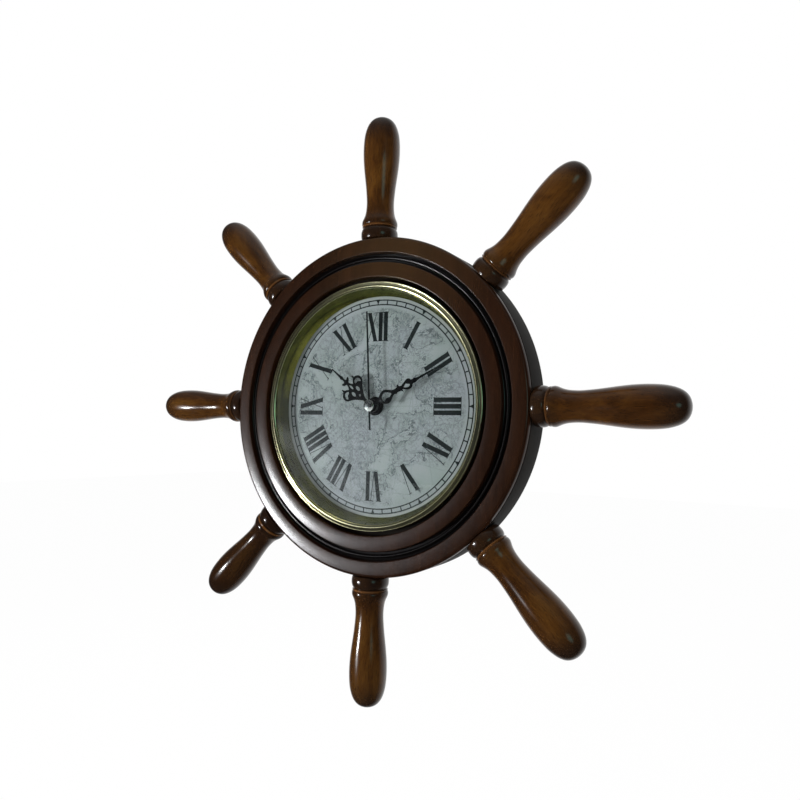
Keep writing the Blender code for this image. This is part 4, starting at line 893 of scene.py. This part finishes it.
half = smooth_run(HOUR_LOOP_SIDE, 5) + HOUR_SPUR + smooth_run(HOUR_LEAF, 3) + smooth_run(HOUR_NEEDLE, 2)
other_half = [(-x, y) for x, y in reversed(half[:-1])]
outlines = [hub(HOUR_BOSS, NECK) + half + other_half, arc((0, 0), HOUR_BORE, 0, 351, 39)]
outlines += [pointed_cell(*cell) for cell in HOUR_CELLS]
for side in (-1, 1):
    outlines.append([(side * x, y) for x, y in smooth_loop(HOUR_LOOP_HOLE, 4)])
stamped_hand("pierced_hour_hand", "hour_hand", "hours", outlines, HOUR_DEG)

right = smooth_run(MINUTE_RIGHT, 6) + MINUTE_RIGHT_LEAF + smooth_run(MINUTE_RIGHT_RING, 6)
left = smooth_run(MINUTE_LEFT, 6) + MINUTE_LEFT_LEAF + smooth_run(MINUTE_LEFT_RING, 6)
outlines = [hub(MINUTE_BOSS, NECK) + right + MINUTE_POINT + left[::-1], arc((0, 0), MINUTE_BORE, 0, 351, 39)]
outlines += [smooth_loop(MINUTE_HOLE, 6), smooth_loop(MINUTE_RING_HOLE, 6)]
stamped_hand("pierced_minute_hand", "minute_hand", "minutes", outlines, MINUTE_DEG)

SECOND_BOSS = 2.2
TAIL = (0.7, -16.5)
TIP = (0.55, 64.2)
turn = math.degrees(math.asin(TAIL[0] / SECOND_BOSS))
needle = arc((0, 0), SECOND_BOSS, turn - 90, 90 - turn, 16) + [TIP, (-TIP[0], TIP[1])]
needle += arc((0, 0), SECOND_BOSS, 90 + turn, 270 - turn, 16) + [(-TAIL[0], TAIL[1]), TAIL]
stamped_hand("needle_second_hand", "second_hand", "seconds", [needle], SECOND_DEG)


# Hand cap: a small polished dome, spun from plated brass, pressed over the second hand's boss so
# that it hides the end of the arbor.
cap_shades = [(0.3, (0.72, 0.73, 0.74)), (0.7, (0.86, 0.86, 0.86))]
polished_cap, shader, place = cloudy_finish("polished_cap", 0.08, 300.0, 4.0, cap_shades, metallic=1.0)
rough(shader, speckle(place, 900.0, 3.0), 0.05, 0.16)

CAP_EDGE = 0.1 * MM
back, front, radius = span("hand_cap")
tall = front - back
dome = [(0, front)]
for i in range(1, 17):
    share = math.sin(math.pi / 2 * i / 17)
    dome.append((radius * share, back + tall * (0.25 + 0.75 * math.sqrt(1 - share ** 2.4))))
dome += [(radius, back + tall * 0.22), (radius, back + CAP_EDGE), (radius - CAP_EDGE, back), (0, back)]
cap = turned("domed_hand_cap", dome, 56)
fitted(cap, polished_cap, replaces="hand_cap", body="seconds")


# Sight ring: polished brass slope between dial and glass, toned to a deep olive, spun dished, with
# a rolled foot on the dial and a flange under the glass.
def spun_brass(name, dark, light, polish, lines):
    """Brass spun on a lathe, with its fine turning lines and a little tarnish."""
    finish, shader = new_finish(name, polish, 1.0)
    place = own_place(shader)
    turning = {"X": off_axis(flattened(place)), "Y": along_axis(place, "Y")}
    spin_lines = speckle(node("ShaderNodeCombineXYZ", turning).outputs[0], 2600.0, 3.0, 0.6)
    tarnish = speckle(place, 55.0, 5.0, 0.6)
    feed(shader, "Base Color", shades(tarnish, [(0.32, dark), (0.68, light)]))
    worn = levels(tarnish, 0.35, 0.7, polish + 0.04, polish - 0.02)
    feed(shader, "Roughness", sums("ADD", levels(spin_lines, 0.3, 0.7, 0.0, 0.05), worn))
    relief(shader, spin_lines, lines)
    return finish


brass = spun_brass("spun_brass", (0.67, 0.64, 0.35), (0.88, 0.86, 0.56), 0.12, 0.0000004)
olive_brass = spun_brass("olive_brass", (0.115, 0.110, 0.014), (0.225, 0.212, 0.044), 0.13, 0.0000003)

back, front, flange = span("sight_ring")
SIGHT_TOP = flange - 3.0 * MM
SIGHT_FOOT = 75.1 * MM
SIGHT_DISH = 0.7 * MM
SIGHT_SHEET = 0.6 * MM
SIGHT_ROLL = 0.22 * MM
slope = []
for i in range(25):
    share = i / 24
    across = SIGHT_TOP + (SIGHT_FOOT - SIGHT_TOP) * share + SIGHT_DISH * math.sin(math.pi * share)
    slope.append((across, front + (back + 0.45 * MM - front) * share))
under = front - SIGHT_SHEET
section = [(flange, front), (flange, under), (slope[2][0] + 1.1 * MM, under)]
section += [(across + SIGHT_SHEET, height) for across, height in slope[2:]]
section += [(SIGHT_FOOT + SIGHT_SHEET, back), (SIGHT_FOOT + 0.15 * MM, back)]
section += arc((SIGHT_FOOT + SIGHT_ROLL, back + 0.24 * MM), SIGHT_ROLL, 230, 120, 5) + slope[::-1]
fitted(turned("polished_sight_ring", section, 240), olive_brass, replaces="sight_ring")


# Glass: one flat clear pane with eased edges, laid on the sight ring's flange and held there by
# the bezel's lip.
clear_glass, shader = new_finish("clear_glass", 0.0)
shader.inputs["Base Color"].default_value = (0.94, 0.975, 0.965, 1.0)
shader.inputs["Transmission Weight"].default_value = 1.0
shader.inputs["IOR"].default_value = 1.5
tree = clear_glass.node_tree
open_pane = node("ShaderNodeBsdfTransparent", {"Color": (0.93, 0.96, 0.95, 1.0)}, tree)
lamp_rays = node("ShaderNodeLightPath", tree=tree).outputs["Is Shadow Ray"]
pane = node("ShaderNodeMixShader", {0: lamp_rays, 1: shader.outputs[0], 2: open_pane.outputs[0]})
feed(tree.nodes["Material Output"], "Surface", pane.outputs[0])

back, front, GLASS_RADIUS = span("glass")
FRONT_EDGE, BACK_EDGE = 0.3 * MM, 0.2 * MM
section = [(0, front), (GLASS_RADIUS - FRONT_EDGE, front), (GLASS_RADIUS, front - FRONT_EDGE)]
section += [(GLASS_RADIUS, back + BACK_EDGE), (GLASS_RADIUS - BACK_EDGE, back), (0, back)]
fitted(turned("flat_glass", section, 200), clear_glass, replaces="glass")


# Bezel: a spun brass ring with a thin roll outside and a round bead inside, pressed into the
# case over the glass.
back, front, radius = span("bezel")
BEZEL_LIP = SIGHT_TOP - 0.5 * MM
BEZEL_SHEET = 0.8 * MM
BEZEL_ROLL = 0.65 * MM
BEZEL_BEAD = 1.9 * MM
under = front - BEZEL_SHEET
section = [(radius, back)]
section += arc((radius - BEZEL_ROLL, front - 1.25 * MM), BEZEL_ROLL, 0, 125, 8)
section += arc((BEZEL_LIP + 1.55 * MM, front - BEZEL_BEAD), BEZEL_BEAD, 52, 150, 14)
section += [(BEZEL_LIP, front - 0.62 * MM), (BEZEL_LIP + 0.1 * MM, under), (BEZEL_LIP + 1.0 * MM, under)]
section += [(GLASS_RADIUS + 0.2 * MM, under - 0.1 * MM), (radius - BEZEL_SHEET, front - 2.2 * MM)]
section += [(radius - BEZEL_SHEET, back)]
fitted(turned("spun_bezel", section, 240), brass, replaces="bezel")


# Hanger: a zinc-plated keyhole plate let in flush at the back, with two countersunk cross-head
# screws.
plated_steel, shader = new_finish("plated_steel", 0.32, 1.0)
place = own_place(shader)
spangle = node("ShaderNodeTexVoronoi", {"Vector": place, "Scale": 420.0}).outputs["Color"]
brushed = speckle(stretched(place, (140, 900, 1600)), 1.0, 3.0)
mottle = sums("ADD", product(along_axis(spangle, "X"), 0.4), product(brushed, 0.6))
feed(shader, "Base Color", shades(mottle, [(0.25, (0.42, 0.43, 0.44)), (0.75, (0.62, 0.63, 0.64))]))
rough(shader, brushed, 0.24, 0.42)
relief(shader, brushed, 0.000006)

KEYHOLE_ENTRY, KEYHOLE_SLOT, KEYHOLE_RISE = 4.8 * MM, 2.5 * MM, 4 * MM
PLATE_HOLE, PLATE_EDGE = 3.6 * MM, 0.15 * MM
back, front, _ = span("hanger_plate")
entry = math.degrees(math.asin(KEYHOLE_SLOT / KEYHOLE_ENTRY))
keyhole = arc((0, HANGER_Z - KEYHOLE_RISE), KEYHOLE_ENTRY, 90 + entry, 450 - entry, 40)
keyhole += arc((0, HANGER_Z + KEYHOLE_RISE), KEYHOLE_SLOT, 0, 180, 20)
outlines = [rounded_box(*HANGER_SIZE, HANGER_CORNER, (0, HANGER_Z)), keyhole]
for side in (-1, 1):
    outlines.append(arc((side * SCREW_SPREAD, HANGER_Z), PLATE_HOLE, 0, 350, 35))
plate = sheet_piece("keyhole_plate", outlines, back, front, PLATE_EDGE)
fitted(plate, plated_steel, replaces="hanger_plate")

SCREW_HEAD, SCREW_SHANK = 3.3 * MM, 1.75 * MM
SCREW_CORE, SCREW_THREAD, SCREW_PITCH = 1.3 * MM, 1.74 * MM, 0.9 * MM
cross_slot = rounded_box(3.6 * MM, 0.7 * MM, 0.2 * MM, count=2)
for side, beside, which in zip((-1, 1), screw_places, ("left", "right")):
    head, end, _ = span(f"hanger_screw_{which}")
    section = [(0, head), (3.1 * MM, head), (SCREW_HEAD, head + 0.2 * MM), (SCREW_SHANK, head + 1.6 * MM)]
    height = head + 2.1 * MM
    while height < end - 3.0 * MM:
        section += [(SCREW_CORE, height), (SCREW_THREAD, height + 0.3 * MM), (SCREW_CORE, height + 0.5 * MM)]
        height += SCREW_PITCH
    section += [(SCREW_CORE, end - 2.6 * MM), (0, end)]
    screw = turned(f"crosshead_screw_{which}", section, 40, beside)
    cross = []
    for turn in (25, 115):
        slot_place = beside @ Matrix.Rotation(math.radians(turn + 20 * side), 4, "Z")
        cross.append(sheet_piece("slot", [cross_slot], -1 * MM, head + 0.9 * MM, place=slot_place))
    cut_out(screw, cross)
    fitted(screw, plated_steel, replaces=f"hanger_screw_{which}")


# Movement: a black moulded quartz clock movement behind the dial, with nylon wheels, a stepping
# motor with its coil and board, a setting knob, and one AA cell in a bay between sprung contacts.
white_nylon = moulded("white_nylon", (0.66, 0.65, 0.60), (0.78, 0.77, 0.72), 0.44)
green_board = moulded("green_board", (0.010, 0.085, 0.035), (0.018, 0.14, 0.055), 0.35)

copper_wire, shader = new_finish("copper_wire", 0.28, 1.0)
place = own_place(shader)
turns = sums("SINE", product(along_axis(place, "X"), 21000.0))
feed(shader, "Base Color", shades(levels(turns, -1.0, 1.0), [(0.0, (0.30, 0.10, 0.035)), (1.0, (0.72, 0.31, 0.13))]))
rough(shader, speckle(place, 700.0), 0.2, 0.38)
relief(shader, turns, 0.00004)

for finish, cad_names in (
    (black_plastic, ("movement_shell", "movement_cover", "rotor")),
    (white_nylon, ("second_wheel", "third_wheel", "centre_wheel", "intermediate_wheel")),
    (white_nylon, ("motion_wheel", "hour_wheel", "setting_knob")),
    (plated_steel, ("stator", "contact_negative", "contact_positive")),
    (brass, ("minute_arbor",)), (copper_wire, ("coil",)), (green_board, ("circuit_board",)),
):
    for cad_name in cad_names:
        dress(cad_name, finish)


# Battery: an AA cell in a plain two-coloured sleeve, with crimped steel ends and a raised positive
# nub, held between the contacts in its bay.
cell_low, cell_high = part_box("battery")
CELL_RADIUS = 7.1 * MM
CELL_EDGE = 0.8 * MM
NUB_RADIUS, NUB_HEIGHT = 2.75 * MM, 1.0 * MM
battery_sleeve, shader = new_finish("battery_sleeve", 0.25)
place = own_place(shader)
band = levels(along_axis(place, "X"), 8.0 * MM, 8.2 * MM)
scuff = speckle(stretched(place, (120, 900, 900)), 1.0, 4.0)
sleeve = tinted(band, (0.035, 0.075, 0.21), (0.55, 0.42, 0.16))
feed(shader, "Base Color", tinted(levels(scuff, 0.58, 0.75, 0.0, 0.3), sleeve, (0.30, 0.30, 0.30)))
rough(shader, scuff, 0.18, 0.34)

along_bay = Matrix.Translation((0, cell_low.y + CELL_RADIUS, cell_low.z + CELL_RADIUS))
along_bay = along_bay @ Matrix.Rotation(math.pi / 2, 4, "Y")
back, front = cell_low.x, cell_high.x
section = [(0, front), (2.5 * MM, front), (NUB_RADIUS, front - 0.25 * MM), (NUB_RADIUS, front - NUB_HEIGHT)]
section += arc((CELL_RADIUS - CELL_EDGE, front - NUB_HEIGHT - CELL_EDGE), CELL_EDGE, 90, 0, 6)
section += arc((CELL_RADIUS - CELL_EDGE, back + CELL_EDGE), CELL_EDGE, 0, -90, 6)
section += [(5.0 * MM, back), (4.6 * MM, back + 0.15 * MM), (0, back + 0.15 * MM)]
cell = turned("battery_cell", section, 56, along_bay)
fitted(cell, battery_sleeve, replaces="battery")
cell.data.materials.append(plated_steel)
for face in cell.data.polygons:
    from_middle = (face.center - along_bay.translation).yz.length
    at_end = face.center.x > front - 1.6 * MM or face.center.x < back + 0.6 * MM
    if at_end and from_middle < CELL_RADIUS - 0.35 * MM:
        face.material_index = 1


# Mouldings on the movement's back: a raised border, a plus and a minus at the ends of the cell's
# bay and two arrows round the setting knob, all cast with the black cover; the knob's white grip
# has a ring of ribs for the finger.
cover_low, cover_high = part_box("movement_cover")
knob_low, knob_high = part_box("setting_knob")
cover_back = -cover_high.y
PROUD, ROOT, SOFT_EDGE = 0.32 * MM, 0.05 * MM, 0.08 * MM
MOULDING = (cover_back - PROUD, cover_back + ROOT, SOFT_EDGE)
knob_middle = ((knob_low.x + knob_high.x) / 2, (knob_low.z + knob_high.z) / 2)
sign_line = cell_high.z + 2.6 * MM
SIGN_SPREAD = 23 * MM
RIBS = 24
FINGER_DISH = 3.2 * MM


def round_knob(radius, *angles):
    """Points round the knob, at a distance in mm."""
    return [arc(knob_middle, radius * MM, angle, angle, 1)[0] for angle in angles]


def ring_arrow(start, end):
    """A bent arrow round the knob, its head at the end angle."""
    head = round_knob(8.9, end) + round_knob(7.8, end + 13) + round_knob(6.7, end)
    return arc(knob_middle, 8.1 * MM, start, end, 14) + head + arc(knob_middle, 7.5 * MM, end, start, 14)


cover_size = 2 * cover_high.x, cover_high.z - cover_low.z
outlines = []
for inset, corner in ((0.5 * MM, 1.6 * MM), (1.7 * MM, 1.1 * MM)):
    outlines.append(rounded_box(cover_size[0] - inset, cover_size[1] - inset, corner))
outlines += [ring_arrow(25, 150), ring_arrow(205, 330)]
outlines.append(rounded_box(2.6 * MM, 0.6 * MM, 0.1 * MM, (-SIGN_SPREAD, sign_line), 2))
arm, half = 1.3 * MM, 0.3 * MM
plus = [(arm, half), (half, half), (half, arm), (-half, arm), (-half, half), (-arm, half)]
outlines.append([(SIGN_SPREAD + x, sign_line + y) for x, y in plus + [(-x, -y) for x, y in plus]])
fitted(sheet_piece("cover_mouldings", outlines, *MOULDING), black_plastic)

ribbed = []
for index in range(RIBS):
    for radius, share in ((4.9, 0.0), (4.9, 0.3), (5.55, 0.42), (5.55, 0.88)):
        ribbed += round_knob(radius, (index + share) * 360 / RIBS)
dish = arc(knob_middle, FINGER_DISH, 0, 350, 35)
fitted(sheet_piece("ribbed_grip", [ribbed, dish], *MOULDING), white_nylon, body="knob")


# Room: a plain pale floor well below the hanging clock, a small window light low on the left with
# softer lamps round it, and a white background behind the clock, which shiny surfaces see too.
# Towards the front they see a dim room with two soft glows.
FLOOR_Z = -0.55
FLOOR_HALF = 6
WHITE_SHARE = 0.985
floor_finish, shader = new_finish("pale_floor", 0.9)
shader.inputs["Base Color"].default_value = (0.9, 0.9, 0.9, 1.0)
tree = floor_finish.node_tree
seen = product(node("ShaderNodeLightPath", tree=tree).outputs["Is Camera Ray"], WHITE_SHARE)
white = node("ShaderNodeEmission", {"Color": (1, 1, 1, 1), "Strength": 1.0}, tree)
mixed = node("ShaderNodeMixShader", {0: seen, 1: shader.outputs[0], 2: white.outputs[0]})
feed(tree.nodes["Material Output"], "Surface", mixed.outputs[0])
floor_mesh = bpy.data.meshes.new("floor")
corners = [(x * FLOOR_HALF, y * FLOOR_HALF, FLOOR_Z) for x, y in ((-1, -1), (1, -1), (1, 1), (-1, 1))]
floor_mesh.from_pydata(corners, [], [(0, 1, 2, 3)])
floor_mesh.materials.append(floor_finish)
floor = new_object("floor", floor_mesh)
floor.visible_glossy = False
floor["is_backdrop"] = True

world = bpy.context.scene.world or bpy.data.worlds.new("room")
bpy.context.scene.world = world
world.use_nodes = True
tree = world.node_tree
tree.nodes.clear()
ROOM_SHADES = [
    (0.0, (0.04, 0.04, 0.04)), (0.5, (0.022, 0.023, 0.025)), (0.75, (0.055, 0.057, 0.06)),
    (0.9, (0.16, 0.163, 0.166)), (1.0, (0.5, 0.5, 0.5)),
]
WINDOW_STOPS = [
    (0.0, 0.0), (0.42, 0.008), (0.58, 0.038), (0.70, 0.045), (0.75, 0.115), (0.79, 0.12), (0.82, 0.07), (0.87, 0.09),
    (0.905, 0.50), (0.95, 1.0), (1.0, 1.0),
]

# Each glow's direction, the cosine at its edge, its tint and its share from edge to middle.
GLOWS = [
    ((-0.673, -0.721, -0.168), 0.94, (6.7, 6.9, 7.3), WINDOW_STOPS),
    ((0.76, -0.64, 0.10), 0.972, (0.60, 1.30, 1.15), [(0.0, 0.0), (1.0, 1.0)]),
]
toward = node("ShaderNodeTexCoord", tree=tree).outputs["Generated"]
room = shades(levels(along_axis(toward, "Z"), -1.0, 1.0), ROOM_SHADES)
for direction, nearest, tint, stops in GLOWS:
    aimed = {0: toward, 1: Vector(direction).normalized()}
    facing = node("ShaderNodeVectorMath", aimed, operation="DOT_PRODUCT").outputs["Value"]
    glow = shades(levels(facing, nearest, 1.0), [(spot, (share,) * 3) for spot, share in stops])
    room = tinted(1.0, room, tinted(1.0, glow, tint, "MULTIPLY"), "ADD")
path = node("ShaderNodeLightPath", tree=tree).outputs
behind = levels(along_axis(toward, "Y"), 0.2, 0.8)
straight = sums("LESS_THAN", sums("ADD", path["Diffuse Depth"], path["Glossy Depth"]), 0.5)
through = product(path["Is Transmission Ray"], straight)
seen = share_of(path["Is Camera Ray"], through, product(path["Is Glossy Ray"], behind))
sky = node("ShaderNodeBackground", {"Color": tinted(seen, room, (1.0, 1.0, 1.0)), "Strength": 1.0})
node("ShaderNodeOutputWorld", {"Surface": sky.outputs[0]})

# Each lamp's name, place, width, watts and colour, and whether shiny surfaces mirror it.
LAMPS = [
    ("window_light", (-0.924, -0.93, -0.262), 0.15, 7.2, (0.97, 0.98, 1.0), True),
    ("left_light", (-1.05, -1.0, -0.10), 0.18, 9.7, (0.99, 1.0, 1.0), False),
    ("high_light", (-0.25, -0.95, 1.35), 1.6, 9.0, (1.0, 0.985, 0.96), False),
    ("right_light", (1.5, -0.9, 0.6), 1.2, 12.8, (1.0, 0.985, 0.96), False),
    ("back_light", (-0.95, 1.0, 0.9), 0.6, 20.0, (1.0, 0.99, 0.97), False),
]
for name, spot, size, watts, colour, mirrored in LAMPS:
    lamp = bpy.data.lights.new(name, "AREA")
    lamp.shape = "DISK"
    lamp.size = size
    lamp.energy = watts
    lamp.color = colour
    stand = new_object(name, lamp)
    stand.location = spot
    stand.visible_glossy = mirrored
    stand.visible_transmission = mirrored
    stand.rotation_euler = (-Vector(spot)).to_track_quat("-Z", "Y").to_euler()


# Camera: where the photograph was taken from, a little below the clock's middle and well to its
# right, with the lens that fits the clock's circles.
camera = bpy.data.cameras.new("camera")
camera.sensor_width = 36.0
camera.lens = 30.525
camera.clip_start = 0.01
stand = new_object("camera", camera)
stand.matrix_world = Matrix((
    (0.8646, 0.0032, 0.5025, 0.24670),
    (0.5019, -0.0551, -0.8632, -0.40773),
    (0.0249, 0.9985, -0.0493, -0.01816),
    (0.0, 0.0, 0.0, 1.0),
))
bpy.context.scene.camera = stand
bpy.context.scene.view_settings.view_transform = "Standard"

low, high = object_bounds()
